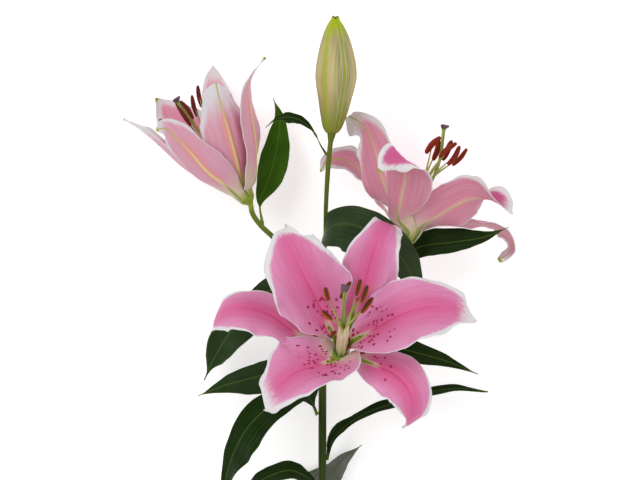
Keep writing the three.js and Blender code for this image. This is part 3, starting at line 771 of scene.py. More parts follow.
def blade_values(spine, half, across, tone, edge):
    """Surface values of a blade: (along, across, tone) as shares, and (along, across, edge) in place."""
    u = np.broadcast_to(spine.u[:, None], across.shape)
    share = np.stack((u, across, np.full_like(across, tone)), axis=-1)
    place = np.stack((u * spine.length, across * half[:, None], edge), axis=-1)
    return share.reshape(-1, 3), place.reshape(-1, 3)


def add_blade(shell, sides, values):
    """Adds a closed blade from the grids of its two faces."""
    rows, columns = sides[0].shape[0] - 1, sides[0].shape[1] - 1
    inner, outer = blade_faces(rows, columns)
    points = np.vstack([side.reshape(-1, 3) for side in sides])
    share, place = (np.vstack((value, value)) for value in values)
    shell.add(points, [(inner, INNER_FACE), (outer, OUTER_FACE)], share, place)


def add_tube(shell, spine, radius, sides, look=0, tone=0.0):
    """Adds a closed tube. radius has a row for each point of the spine and a column for each side."""
    rows = len(spine.u)
    angle = ring_angles(sides)
    reach = np.broadcast_to(radius, (rows, sides))
    around = spine.side[:, None] * np.cos(angle)[:, None] + spine.face[:, None] * np.sin(angle)[:, None]
    skin = (spine.at[:, None] + around * reach[..., None]).reshape(-1, 3)
    k = np.arange(sides)
    after = (k + 1) % sides
    ring = np.stack((k, after, after + sides, k + sides), axis=1)
    walls = np.vstack([ring + row * sides for row in range(rows - 1)])
    foot, tip, last = rows * sides, rows * sides + 1, (rows - 1) * sides
    foot_cap = np.stack((np.full(sides, foot), after, k), axis=1)
    tip_cap = np.stack((np.full(sides, tip), k + last, after + last), axis=1)
    u = np.repeat(spine.u, sides)
    way = np.tile(angle / TURN, rows)
    share = np.vstack((np.stack((u, way, np.full_like(u, tone)), axis=1), (0, 0, tone), (1, 0, tone)))
    place = np.stack((u * spine.length, way * TURN * reach.ravel(), reach.ravel()), axis=1)
    place = np.vstack((place, (0, 0, 0), (spine.length, 0, 0)))
    points = np.vstack((skin, spine.at[0], spine.at[-1]))
    shell.add(points, [(walls, look), (foot_cap, look), (tip_cap, look)], share, place)


def shares_across(rows, columns):
    """A grid of shares from -1 at the left edge to 1 at the right one, closer together at the midrib."""
    even = np.linspace(-1, 1, columns + 1)
    return np.broadcast_to(np.sign(even) * np.abs(even) ** MIDRIB_CROWDING, (rows + 1, columns + 1))


def uneven(across, u, random, height, waves):
    """The shares across a blade with its two edges made to wander in and out a little."""
    left = wander(random, u, waves)[:, None]
    right = wander(random, u, waves * 1.2)[:, None]
    return across * (1 + height * np.abs(across) ** 3 * np.where(across < 0, left, right))


def lobed(across, u, half, lobes):
    """The shares across a blade with lobes drawn out of its edges: (middle, spread, left, right)."""
    out = np.zeros_like(across)
    for middle, spread, left, right in lobes:
        out += np.where(across < 0, left, right) * bell(u - middle, spread)[:, None]
    return across * (1 + np.abs(across) * out / np.maximum(half, LOBE_HALF_WIDTH)[:, None])


# Blooms

class Stand:
    """Where things stand on a bloom: directions square to its axis, and points by height and radius."""

    def __init__(self, bloom):
        self.seat = vector(bloom["seat"])
        self.along = unit(vector(bloom["axis"]))
        self.side = unit(np.cross(self.along, UP))
        self.lift = np.cross(self.side, self.along)

    def radial(self, degrees):
        return turned(self.side, self.lift, degrees)

    def place(self, height, radius=0, degrees=0):
        return self.seat + self.along * height + self.radial(degrees) * radius

    def distance(self, points):
        """How far points lie from the bloom's axis."""
        out = points - self.seat
        return np.linalg.norm(out - np.outer(out @ self.along, self.along), axis=1)


def tepal_spine(stand, whorl, tepal, angle):
    """A tepal's midrib: its foot in the receptacle, its claw, and its path to the tip."""
    foot = stand.place(-ROOT_DEPTH / 2, whorl["radius"], angle)
    claw = stand.place(whorl["rise"], whorl["radius"] + whorl["flare"], angle)
    path = [foot, claw, *tepal["path"]]
    return Spine(path, -stand.radial(angle), TEPAL_ROWS, twist=tepal.get("twist", (0, 0, 0)))


def tepal_half_width(tepal, whorl, spine, stand):
    """Half a tepal's width, from its narrow claw to its tip, and its share of the way round the bloom."""
    u = spine.u
    rise = tepal.get("rise", 1.0)
    peak = rise / (rise + TEPAL_TAPER)
    most = peak ** rise * (1 - peak) ** TEPAL_TAPER
    lance = u ** rise * (1 - u) ** TEPAL_TAPER / most
    whole = np.maximum(TEPAL_TIP_HALF_WIDTH, whorl["claw"] * (1 - u) ** 4 + tepal["width"] / 2 * lance)
    reach = np.maximum(stand.distance(spine.at), whorl["radius"])
    half = np.minimum(whole, reach * whorl["share"])
    return half, half / reach


def tepal_arch(tepal, funnel, u):
    """How far each half bends: part of a funnel near the foot, a cup of its own further out."""
    middle, tip = np.radians(tepal["cup"])
    return mix(funnel, mix(middle, tip, smooth(0.5, 1, u)), smooth(*FUNNEL_TO_CUP, u))


def tepal_relief(spine, half, across, tepal, index, sizes):
    """What stands up from a tepal: waves and frills of its edge, its midrib furrow and soft folds."""
    u = spine.u[:, None]
    off_midrib = across * half[:, None]
    size = np.minimum(np.abs(across), WAVED_REACH)
    phase = np.where(across > 0, index, index + 2)
    waves = smooth(0.25, 0.5, u) * size ** 3 * np.sin(TURN * RUFFLES * u + phase)
    frills = FRILL_SHARE * smooth(0.3, 0.5, u) * size ** 7 * np.sin(TURN * FRILLS * u + 2 * phase)
    deep = smooth(0.02, 0.12, u) * (1 - smooth(0.5, 0.97, u))
    furrow = deep * bell(off_midrib, mix(*FURROW_WIDTHS, smooth(0, 0.4, u)))
    folded = smooth(0.2, 0.4, u) * (1 - smooth(0.7, 1, u)) * smooth(0.1, 0.3, size)
    folds = FOLD_HEIGHT * folded * np.cos(size * TURN * FOLDS)
    return tepal["ruffle"] * (waves + frills) - sizes.furrow_depth / MM * furrow + folds


def tepal_thickness(u, across, outer, sizes):
    """Thickest along the midrib, thin at the edges, and with a small swollen hook on an outer tepal."""
    body = mix(sizes.tepal_thickness, sizes.tepal_edge, smooth(0.15, 1, np.abs(across))) / MM
    return np.maximum(body, HOOK_THICKNESS * smooth(*HOOK_SWELLS, u)) if outer else body


def tepal_edge(tepal, u, across, spine, half):
    """Distance to the edge or the tip, in widths of the pale margin."""
    side, tip = tepal["margin"]
    to_side = (1 - np.abs(across)) * half[:, None] / mix(MARGIN_AT_FOOT, side, smooth(0.45, 0.9, u))
    return np.minimum(to_side, (1 - u) * spine.length / tip)


def mark_hook(shell):
    """Gives the faces at the end of an outer tepal the material of the green tip."""
    u = shell.share[0][:, 0]
    for number, faces in enumerate(shell.faces):
        hooked = u[faces].min(axis=1) >= HOOK_START
        shell.looks[number] = np.where(hooked, HOOK, shell.looks[number])


def spot_places(inner, sizes, random):
    """Shares along and across a tepal of its spots, thickest near the throat and clear of the midrib."""
    count = sizes.spots if inner else sizes.spots // OUTER_SPOTS_FEWER
    nearest, reach = SPOT_ZONE
    along = nearest + reach * random.random(count) ** SPOT_CROWDING
    across = (random.random(count) * 2 - 1) * SPOT_SPREAD * (1 - smooth(0.35, 0.55, along))
    return along, across + np.sign(across) * SPOT_CLEARANCE


def add_spots(shell, sides, places, sizes, random):
    """Adds the raised dark spots of a tepal's inner face, drawn out along it near the throat."""
    along, across = places
    inner, outer = sides
    at = grid_points(inner, along, across)
    up = units(at - grid_points(outer, along, across))
    forward = units(grid_points(inner, along + 0.01, across) - at)
    sideways = np.cross(forward, up)
    reach = sizes.spot_radius / MM * random.uniform(*SPOT_SIZES, len(along))
    angle = ring_angles(SPOT_SIDES)[:, None]
    stretch = mix(*SPOT_STRETCH, smooth(0.15, 0.24, along))[:, None, None]
    out = forward[:, None] * np.cos(angle) * stretch + sideways[:, None] * np.sin(angle)
    rings = []
    for width, height in SPOT_PROFILE:
        rings.append(at[:, None] + reach[:, None, None] * (out * width + (up * height)[:, None]))
    tops = (at + up * (reach * SPOT_HEIGHT)[:, None])[:, None]
    points = np.concatenate((*rings, tops), axis=1)
    shell.add(points.reshape(-1, 3), spot_faces(len(along), points.shape[1]), 0.0, 0.0)


def spot_faces(count, step):
    """Faces of all the spots: rings of quads and a cap of triangles on each."""
    k = np.arange(SPOT_SIDES)
    after = (k + 1) % SPOT_SIDES
    ring = np.stack((k, after, after + SPOT_SIDES, k + SPOT_SIDES), axis=1)
    rings = np.vstack([ring + SPOT_SIDES * row for row in range(len(SPOT_PROFILE) - 1)])
    last = SPOT_SIDES * (len(SPOT_PROFILE) - 1)
    cap = np.stack((k + last, after + last, np.full(SPOT_SIDES, step - 1)), axis=1)
    starts = np.arange(count)[:, None, None] * step
    return [((rings + starts).reshape(-1, 4), SPOT), ((cap + starts).reshape(-1, 3), SPOT)]


def grid_points(grid, u, across):
    """Points of a blade's face at shares of its length and width, between the points of its grid."""
    rows, columns = grid.shape[0] - 1, grid.shape[1] - 1
    even = np.sign(across) * np.abs(across) ** (1 / MIDRIB_CROWDING)
    i, j = u * rows, (even + 1) / 2 * columns
    row = np.clip(i.astype(int), 0, rows - 1)
    column = np.clip(j.astype(int), 0, columns - 1)
    di, dj = (i - row)[:, None], (j - column)[:, None]
    near = mix(grid[row, column], grid[row, column + 1], dj)
    far = mix(grid[row + 1, column], grid[row + 1, column + 1], dj)
    return mix(near, far, di)


def build_tepal(bloom, index, sizes, materials):
    """Builds one tepal. Those with an even index are the inner ones."""
    inner = index % 2 == 0
    kind = "inner" if inner else "outer"
    whorl = WHORLS[kind]
    tepal = bloom["tepals"][index]
    stand = Stand(bloom)
    random = np.random.default_rng(SEEDS_PER_BLOOM * BLOOMS.index(bloom) + index)
    spine = tepal_spine(stand, whorl, tepal, bloom["turn"] + NEXT_TURN * index)
    u = spine.u[:, None]
    half, funnel = tepal_half_width(tepal, whorl, spine, stand)
    across = shares_across(TEPAL_ROWS, TEPAL_COLUMNS)
    outline = lobed(uneven(across, spine.u, random, *TEPAL_WANDER), spine.u, half, tepal.get("lobes", ()))
    relief = tepal_relief(spine, half, outline, tepal, index, sizes)
    thickness = tepal_thickness(u, across, not inner, sizes)
    sides = blade_sides(spine, half, tepal_arch(tepal, funnel, spine.u), outline, relief, thickness)
    edge = tepal_edge(tepal, u, across, spine, half) / MM
    shell = Shell()
    add_blade(shell, sides, blade_values(spine, half, across, bloom["tone"], edge))
    if not inner:
        mark_hook(shell)
    add_spots(shell, sides, spot_places(inner, sizes, random), sizes, random)
    node = f"{bloom['name']}_{kind}_tepal_{index // 2 + 1}"
    add_piece(shell.mesh(node + "_petal"), materials, node)


def add_pistil(shell, bloom, stand):
    """Adds the six-ridged ovary with the style, and the three-lobed stigma on its end."""
    stigma = vector(bloom["stigma"])
    bend = vector(bloom.get("style_bend", mix(stand.place(2 * OVARY_LENGTH), stigma, 0.35)))
    spine = Spine([stand.place(0), stand.place(OVARY_LENGTH), bend, stigma], stand.radial(90), PISTIL_ROWS)
    ridges = OVARY_RIDGE * (1 - smooth(*OVARY_TO_STYLE, spine.u))
    ridged = 1 + ridges[:, None] * np.cos(6 * ring_angles(PISTIL_SIDES))
    radius = profile_at(PISTIL_PROFILE, spine.u)[:, None] * ridged
    add_tube(shell, spine, radius, PISTIL_SIDES, PISTIL, bloom["tone"])
    end = [spine.at[-STIGMA_STEPS], stigma + spine.along[-1] * STIGMA_RISE]
    spine = Spine(end, stand.radial(90), STIGMA_ROWS)
    lobes = STIGMA_LOBE * smooth(0.35, 0.8, spine.u)[:, None] * np.cos(3 * ring_angles(STIGMA_SIDES))
    radius = profile_at(STIGMA_PROFILE, spine.u)[:, None] * (1 + lobes)
    add_tube(shell, spine, radius, STIGMA_SIDES, STIGMA, bloom["tone"])


def add_filament(shell, bloom, stand, angle, end):
    """Adds a tapered filament and returns the way that its end points."""
    foot = stand.place(0, FILAMENT_RING_RADIUS, angle)
    collar = stand.place(FILAMENT_UPRIGHT, FILAMENT_RING_RADIUS, angle)
    parting = stand.place(FILAMENT_PARTING, FILAMENT_PARTING_RADIUS, angle)
    spine = Spine([foot, collar, parting, end], stand.radial(90), FILAMENT_ROWS)
    radius = profile_at(FILAMENT_PROFILE, spine.u)[:, None]
    add_tube(shell, spine, radius, FILAMENT_SIDES, FILAMENT, bloom["tone"])
    return spine.along[-1]


def add_anther(shell, bloom, stand, centre, lie, filament, random):
    """Adds a bowed anther with two lobes, opened along a seam and grained with pollen."""
    bow = unit(np.cross(lie, np.cross(filament, lie)))
    half = lie * ANTHER_LENGTH / 2
    ends, middle = (bow * depth for depth in ANTHER_BOW)
    line = [centre - half - ends, centre + middle, centre + half - ends]
    spine = Spine(line, vector(bloom.get("anther_face", stand.along)), ANTHER_ROWS)
    swell = 0.3 + 0.7 * np.sin(math.pi * spine.u) ** 0.45
    angle = ring_angles(ANTHER_SIDES)
    seams = bell(np.sin(angle) - 1, ANTHER_SEAM_WIDTH) + bell(np.sin(angle) + 1, ANTHER_SEAM_WIDTH)
    lobes = 1 + ANTHER_LOBE * np.cos(2 * angle) - ANTHER_SEAM_DEPTH * seams
    grain = 1 + POLLEN_GRAIN * random.standard_normal((len(spine.u), ANTHER_SIDES))
    radius = bloom.get("anther_radius", ANTHER_RADIUS) * swell[:, None] * lobes * grain
    add_tube(shell, spine, radius, ANTHER_SIDES, ANTHER, bloom["tone"])


def build_heart(bloom, materials):
    """Builds the pistil and the stamens of a bloom, on the disc that they grow from."""
    stand = Stand(bloom)
    random = np.random.default_rng(HEART_SEED + BLOOMS.index(bloom))
    shell = Shell()
    disc = Spine([stand.place(-ROOT_DEPTH / 2), stand.place(DISC_HEIGHT)], stand.radial(90), 4)
    add_tube(shell, disc, DISC_RADIUS, PISTIL_SIDES, PISTIL, bloom["tone"])
    add_pistil(shell, bloom, stand)
    for index, (at, lie) in enumerate(bloom["anthers"]):
        filament = add_filament(shell, bloom, stand, bloom["turn"] + NEXT_TURN * index, vector(at))
        add_anther(shell, bloom, stand, vector(at), unit(vector(lie)), filament, random)
    node = f"{bloom['name']}_pistil_and_stamens"
    add_piece(shell.mesh(node + "_heart"), materials, node)


# Bud

def bud_radii(spine, angle, sizes):
    """Radii of the closed bud: three tepals edge to edge, with broad midribs and lipped seams."""
    u = spine.u[:, None]
    body = BUD_RADIUS * swell_at(BUD_SWELL, spine.u)[:, None] * (1 + BUD_RIDGE * np.cos(3 * angle))
    midrib = body * angle_from(angle, 0)
    seam = body * angle_from(angle, 60)
    ribs = BUD_RIB["height"] * bell(midrib, BUD_RIB["width"]) * smooth(0.05, 0.2, u)
    seams = sizes.seam_depth / MM * bell(seam, BUD_SEAM_WIDTH)
    lips = BUD_LIP["height"] * bell(seam - BUD_LIP["off_seam"], BUD_LIP["width"])
    fluted = smooth(0.1, 0.3, u) * (1 - smooth(0.8, 0.95, u))
    flutes = BUD_FLUTE_HEIGHT * np.cos(BUD_FLUTES * angle) * fluted
    return np.maximum(body + ribs - seams + lips + flutes, BUD_LEAST_RADIUS), midrib, seam


def angle_from(angle, start):
    """The angle to the nearest of three lines, 120 degrees apart, the first at start degrees."""
    third = TURN / 3
    return np.abs((angle - math.radians(start) + third / 2) % third - third / 2)


def build_bud(sizes, materials):
    """Builds the bud and parts its three tips a little."""
    spine = Spine(rooted(BUD_PATH), UP, BUD_ROWS)
    angle = ring_angles(BUD_SIDES)
    radii, midrib, seam = bud_radii(spine, angle, sizes)
    tips = smooth(BUD_TIPS["start"], 1, spine.u)[:, None] * np.cos(3 * angle)
    shell = Shell()
    add_tube(shell, spine, radii * (1 + BUD_TIPS["spread"] * tips), BUD_SIDES)
    skin = shell.points[0][:-2].reshape(BUD_ROWS + 1, BUD_SIDES, 3)
    skin += spine.along[:, None] * tips[..., None] * BUD_TIPS["length"]
    shell.place[0][:-2, 1] = midrib.ravel()
    shell.place[0][:-2, 2] = seam.ravel()
    add_piece(shell.mesh("bud_skin"), materials, "bud")


# Leaves

def leaf_half_width(leaf, u):
    """Half the width of a leaf: a narrow foot, a lance-shaped blade and a fine point."""
    rise, peak, stalk = leaf.get("rise", 1.1), leaf.get("peak", 0.42), leaf.get("stalk", 0.0)
    fall = rise * (1 - peak) / peak
    t = np.maximum(0, (u - stalk) / (1 - stalk))
    lance = (t / peak) ** rise * ((1 - t) / (1 - peak)) ** fall
    foot = LEAF_STALK_HALF_WIDTH * (1 - u) ** 6
    return np.maximum(LEAF_TIP_HALF_WIDTH, foot + leaf["width"] / 2 * lance)


def leaf_relief(spine, half, across, random, sizes):
    """What stands up from a leaf: its midrib channel, grooves over its veins and the waves of its edge."""
    u = spine.u[:, None]
    off_midrib = across * half[:, None]
    channel = LEAF_CHANNEL * smooth(0, 0.08, u) * (1 - smooth(0.8, 1, u)) * bell(off_midrib, 1.0)
    grooves = LEAF_GROOVE * smooth(0.12, 0.3, np.abs(across)) * np.cos(across * TURN * sizes.vein_pairs)
    left, right = (wander(random, spine.u, LEAF_WAVES)[:, None] for _ in range(2))
    waves = LEAF_WAVE_HEIGHT * across ** 2 * smooth(0.1, 0.3, u) * np.where(across < 0, left, right)
    return waves - channel - grooves * (half[:, None] > VEINED_HALF_WIDTH)


def build_leaf(leaf, number, sizes, materials):
    """Builds one leaf, folded up a little on both sides of its midrib."""
    random = np.random.default_rng(LEAF_SEED + number)
    twist = leaf.get("twist", (0, 0, 0))
    spine = Spine(rooted(leaf["path"]), vector(leaf["face"]), LEAF_ROWS, anchor=0.5, twist=twist)
    half = leaf_half_width(leaf, spine.u)
    across = shares_across(LEAF_ROWS, LEAF_COLUMNS)
    arch = along3(np.radians(leaf.get("fold", LEAF_FOLD)), spine.u)
    outline = lobed(uneven(across, spine.u, random, *LEAF_WANDER), spine.u, half, leaf.get("lobes", ()))
    relief = leaf_relief(spine, half, outline, random, sizes)
    thickness = mix(sizes.leaf_thickness / MM, LEAF_EDGE_THICKNESS, smooth(0.2, 1, np.abs(across)))
    sides = blade_sides(spine, half, arch, outline, relief, thickness)
    edge = (1 - np.abs(across)) * half[:, None]
    tone = leaf.get("tone", LEAF_TONES * random.random())
    shell = Shell()
    add_blade(shell, sides, blade_values(spine, half, across, tone, edge))
    node = f"leaf_{number:02d}"
    add_piece(shell.mesh(node + "_blade"), materials, node)


# Stem

def stalks():
    """The spine and radii of every stalk that the stem is grown from."""
    main = Spine(MAIN_STEM, UP, MAIN_STEM_ROWS)
    lower = mix(CUT_END_RADIUS, STEM_RADIUS, smooth(0, 0.3, main.u))
    yield main, mix(lower, STEM_TOP_RADIUS, smooth(0.9, 1, main.u))
    bud_stalk = Spine(BUD_STALK, UP, BUD_STALK_ROWS)
    foot, middle, top = BUD_STALK_RADII
    lean = mix(foot, middle, smooth(0.2, 0.9, bud_stalk.u))
    yield bud_stalk, mix(lean, top, smooth(0.93, 1, bud_stalk.u))
    for bloom, path in PEDICELS:
        stand = Stand(bloom)
        pedicel = Spine([*path, stand.place(-RECEPTACLE_LENGTH)], UP, PEDICEL_ROWS)
        yield pedicel, np.full_like(pedicel.u, PEDICEL_RADIUS)
        cup = Spine([stand.place(-CUP_REACH * RECEPTACLE_LENGTH), stand.place(0)], UP, CUP_ROWS)
        yield cup, mix(CUP_FOOT * PEDICEL_RADIUS, RECEPTACLE_RADIUS, smooth(0, 1, cup.u))


def grown_together(mesh, voxel):
    """The mesh of one skin over all the tubes of a mesh."""
    maker = bpy.data.objects.new("stem_maker", mesh)
    bpy.context.scene.collection.objects.link(maker)
    remesh = maker.modifiers.new("Skin", "REMESH")
    remesh.mode = "VOXEL"
    remesh.voxel_size = voxel
    soften = maker.modifiers.new("Soften", "SMOOTH")
    soften.iterations = STEM_SOFTENING
    skin = bpy.data.meshes.new_from_object(maker.evaluated_get(bpy.context.evaluated_depsgraph_get()))
    bpy.data.objects.remove(maker)
    return skin


def mesh_points(mesh):
    """The points of a mesh in millimetres."""
    points = np.empty(3 * len(mesh.vertices), dtype=np.float32)
    mesh.vertices.foreach_get("co", points)
    return points.reshape(-1, 3) / MM


def stem_places(points, spines):
    """Where each point of the stem lies on the stalk nearest to it: (along, round, out) in millimetres."""
    rings = [(spine, i) for spine in spines for i in range(len(spine.u))]
    tree = KDTree(len(rings))
    for number, (spine, i) in enumerate(rings):
        tree.insert(spine.at[i], number)
    tree.balance()
    places = np.zeros((len(points), 3))
    for number, point in enumerate(points):
        spine, i = rings[tree.find(point)[1]]
        out = point - spine.at[i]
        angle = math.atan2(out @ spine.face[i], out @ spine.side[i]) % TURN
        along = spine.u[i] * spine.length + out @ spine.along[i]
        places[number] = along, angle * STEM_RADIUS, np.linalg.norm(out)
    return places


def yellowing(points):
    """How far the green of the stem turns yellow towards its blooms and its bud, as shares."""
    ends = [(bloom["seat"], *reach) for bloom in BLOOMS for reach in SEAT_YELLOWING]
    ends.append((BUD_PATH[0], *BUD_YELLOWING))
    shares = np.zeros(len(points))
    for end, most, start, whole in ends:
        away = np.linalg.norm(points - vector(end), axis=1)
        shares = np.maximum(shares, most * smooth(start, whole, away))
    return shares


def raise_scars(points, spine):
    """Raises a small cushion where each leaf was stripped off, and returns how far its scar shows."""
    shown = np.zeros(len(points))
    for u, degrees in LEAF_SCARS:
        i = round(u * (len(spine.u) - 1))
        way = turned(spine.side[i], spine.face[i], degrees)
        gap = points - (spine.at[i] + way * STEM_RADIUS)
        along = gap @ spine.along[i]
        across = np.linalg.norm(gap - np.outer(along, spine.along[i]), axis=1)
        cushion = bell(along, CUSHION["length"]) * bell(across, CUSHION["width"])
        points += np.outer(CUSHION["height"] * cushion, way)
        shown = np.maximum(shown, bell(along - SCAR["rise"], SCAR["length"]) * bell(across, SCAR["width"]))
    return shown


def mark_cut(mesh, spine):
    """Gives the flat end of the stem the material of the cut."""
    end, out = spine.at[0] * MM, -spine.along[0]
    for face in mesh.polygons:
        at_end = (np.array(face.center) - end) @ out > -CUT_ROUNDING * MM
        if at_end and np.array(face.normal) @ out > CUT_FACING:
            face.material_index = CUT


def build_stem(sizes, materials):
    """Builds the stem with all its stalks as one grown skin."""
    shell = Shell()
    spines = []
    for spine, radius in stalks():
        add_tube(shell, spine, radius[:, None], STALK_SIDES)
        spines.append(spine)
    skin = grown_together(shell.mesh("stem_tubes"), sizes.voxel)
    skin.name = "stem_skin"
    points = mesh_points(skin)
    place = stem_places(points, spines)
    green = yellowing(points)
    scars = raise_scars(points, spines[0])
    skin.vertices.foreach_set("co", (points * MM).astype(np.float32).ravel())
    skin.update()
    give_values(skin, np.stack((green, np.zeros_like(green), scars), axis=1), place * MM)
    piece = add_piece(skin, materials, "stem")
    mark_cut(piece.data, spines[0])


# Node trees

class Brush:
    """Adds and joins the nodes of one material or node group."""

    def __init__(self, tree):
        self.tree = tree

    def node(self, kind, feeds=(), **settings):
        made = self.tree.nodes.new(kind)
        for name, value in settings.items():
            setattr(made, name, value)
        for socket, value in dict(feeds).items():
            self.feed(made.inputs[socket], value)
        return made

    def feed(self, socket, value):
        if isinstance(value, bpy.types.NodeSocket):
            self.tree.links.new(value, socket)
        elif socket.type == "RGBA":
            socket.default_value = (*value[:3], 1)
        else:
            socket.default_value = value

    def math(self, operation, first, second=0.0):
        return self.node("ShaderNodeMath", {0: first, 1: second}, operation=operation).outputs[0]

    def plus(self, first, second):
        return self.math("ADD", first, second)

    def minus(self, first, second):
        return self.math("SUBTRACT", first, second)

    def times(self, first, *others):
        product = first
        for other in others:
            product = self.math("MULTIPLY", product, other)
        return product

    def fade(self, value, start, end):
        """A smooth step from 0 at start to 1 at end."""
        feeds = {"Value": value, "From Min": start, "From Max": end}
        return self.node("ShaderNodeMapRange", feeds, interpolation_type="SMOOTHSTEP").outputs[0]

    def at_least(self, least, share):
        """A share that runs from least to 1 as another runs from 0 to 1."""
        return self.plus(self.times(share, 1 - least), least)

    def over(self, under, colour, *shares, blend="MIX"):
        """Lays a colour over another as far as the product of the shares says."""
        feeds = {0: self.times(*shares), 6: under, 7: colour}
        return self.node("ShaderNodeMix", feeds, data_type="RGBA", blend_type=blend).outputs[2]

    def tint(self, under, colour, *shares):
        """Multiplies a colour by another as far as the product of the shares says."""
        return self.over(under, colour, *shares, blend="MULTIPLY")

    def noise(self, place, scale, detail):
        feeds = {"Vector": place, "Scale": scale, "Detail": detail}
        return self.node("ShaderNodeTexNoise", feeds).outputs[0]

    def object_place(self):
        return self.node("ShaderNodeTexCoord").outputs["Object"]

    def stored(self, name):
        """The three numbers of a stored surface value, and the value itself."""
        value = self.node("ShaderNodeAttribute", attribute_name=name).outputs["Vector"]
        parts = self.node("ShaderNodeSeparateXYZ", {0: value}).outputs
        return parts[0], parts[1], parts[2], value

    def effect(self, title, **feeds):
        """Places a shared effect and returns what it puts out."""
        placed = self.node("ShaderNodeGroup", node_tree=shared_effect(title))
        for name, value in feeds.items():
            self.feed(placed.inputs[name.replace("_", " ").capitalize()], value)
        return placed.outputs[0]

    def streaks(self, place, spacing, length, seed):
        return self.effect("Lengthwise streaks", place=place, spacing=spacing, length=length, seed=seed)

    def line(self, distance, half_width, softness):
        return self.effect("Soft line", distance=distance, half_width=half_width, softness=softness)

    def mottle(self, place, size):
        return self.effect("Mottle", place=place, size=size)

    def bump(self, height, distance, strength):
        feeds = {"Height": height, "Distance": distance, "Strength": strength}
        return self.node("ShaderNodeBump", feeds).outputs[0]


# Effects that materials share

def new_group(title, numbers, output, place=False):
    """A node group with number inputs, after a place where it needs one, and one number output."""
    group = bpy.data.node_groups.new(title, "ShaderNodeTree")
    if place:
        group.interface.new_socket("Place", in_out="INPUT", socket_type="NodeSocketVector")
    for name in numbers:
        group.interface.new_socket(name, in_out="INPUT", socket_type="NodeSocketFloat")
    group.interface.new_socket(output, in_out="OUTPUT", socket_type="NodeSocketFloat")
    brush = Brush(group)
    given = brush.node("NodeGroupInput").outputs
    return group, brush, given, brush.node("NodeGroupOutput").inputs[output]


def make_streaks(title):
    """Fine streaks that run the length of a petal, leaf or stalk."""
    group, brush, given, out = new_group(title, ("Spacing", "Length", "Seed"), "Streaks", place=True)
    parts = brush.node("ShaderNodeSeparateXYZ", {0: given["Place"]}).outputs
    along = brush.math("DIVIDE", parts[0], given["Length"])
    across = brush.math("DIVIDE", parts[1], given["Spacing"])
    place = brush.node("ShaderNodeCombineXYZ", {0: along, 1: across, 2: given["Seed"]}).outputs[0]
    brush.feed(out, brush.fade(brush.noise(place, 1.0, 3.0), 0.3, 0.7))
    return group


def make_line(title):
    """A soft line on both sides of where a distance is nought."""
    group, brush, given, out = new_group(title, ("Distance", "Half width", "Softness"), "Line")
    away = brush.math("ABSOLUTE", given["Distance"])
    inside = brush.minus(given["Half width"], given["Softness"])
    outside = brush.plus(given["Half width"], given["Softness"])
    brush.feed(out, brush.fade(away, outside, inside))
    return group


def make_margin(title):
    """A pale margin whose inner limit is feathered along the streaks."""
    group, brush, given, out = new_group(title, ("Edge", "Streaks", "Feather", "Reach"), "Margin")
    shift = brush.times(brush.minus(given["Streaks"], 0.5), given["Feather"])
    brush.feed(out, brush.fade(brush.plus(given["Edge"], shift), given["Reach"], 0.55))
    return group


def make_mottle(title):
    """Broad soft patches, as shares of nought to one."""
    group, brush, given, out = new_group(title, ("Size",), "Patches", place=True)
    scale = brush.math("DIVIDE", 1.0, given["Size"])
    brush.feed(out, brush.fade(brush.noise(given["Place"], scale, 2.0), 0.3, 0.7))
    return group


EFFECTS = {
    "Lengthwise streaks": make_streaks,
    "Soft line": make_line,
    "Feathered margin": make_margin,
    "Mottle": make_mottle,
}


def shared_effect(title):
    """The node group with a title, made when it is first asked for."""
    return bpy.data.node_groups.get(title) or EFFECTS[title](title)


# Materials

def new_material(name, roughness, subsurface=0.0, coat=0.0, shine=0.3):
    """A material with a plain surface shader, its brush and the shader's inputs."""
    material = bpy.data.materials.new(name)
    material.use_nodes = True
    material.node_tree.nodes.clear()
    brush = Brush(material.node_tree)
    shader = brush.node("ShaderNodeBsdfPrincipled", {"Roughness": roughness, "Specular IOR Level": shine})
    if subsurface:
        shader.inputs["Subsurface Weight"].default_value = subsurface
        shader.inputs["Subsurface Radius"].default_value = TISSUE_GLOW
        shader.inputs["Subsurface Scale"].default_value = TISSUE_DEPTH
    if coat:
        shader.inputs["Coat Weight"].default_value = coat
        shader.inputs["Coat Roughness"].default_value = 0.3
    end = brush.node("ShaderNodeOutputMaterial")
    brush.feed(end.inputs["Surface"], shader.outputs[0])
    return material, brush, shader.inputs


def dress(brush, surface, colour, relief, depth, strength):
    """Gives a surface its colour and a fine relief."""
    brush.feed(surface["Base Color"], colour)
    brush.feed(surface["Normal"], brush.bump(relief, depth, strength))


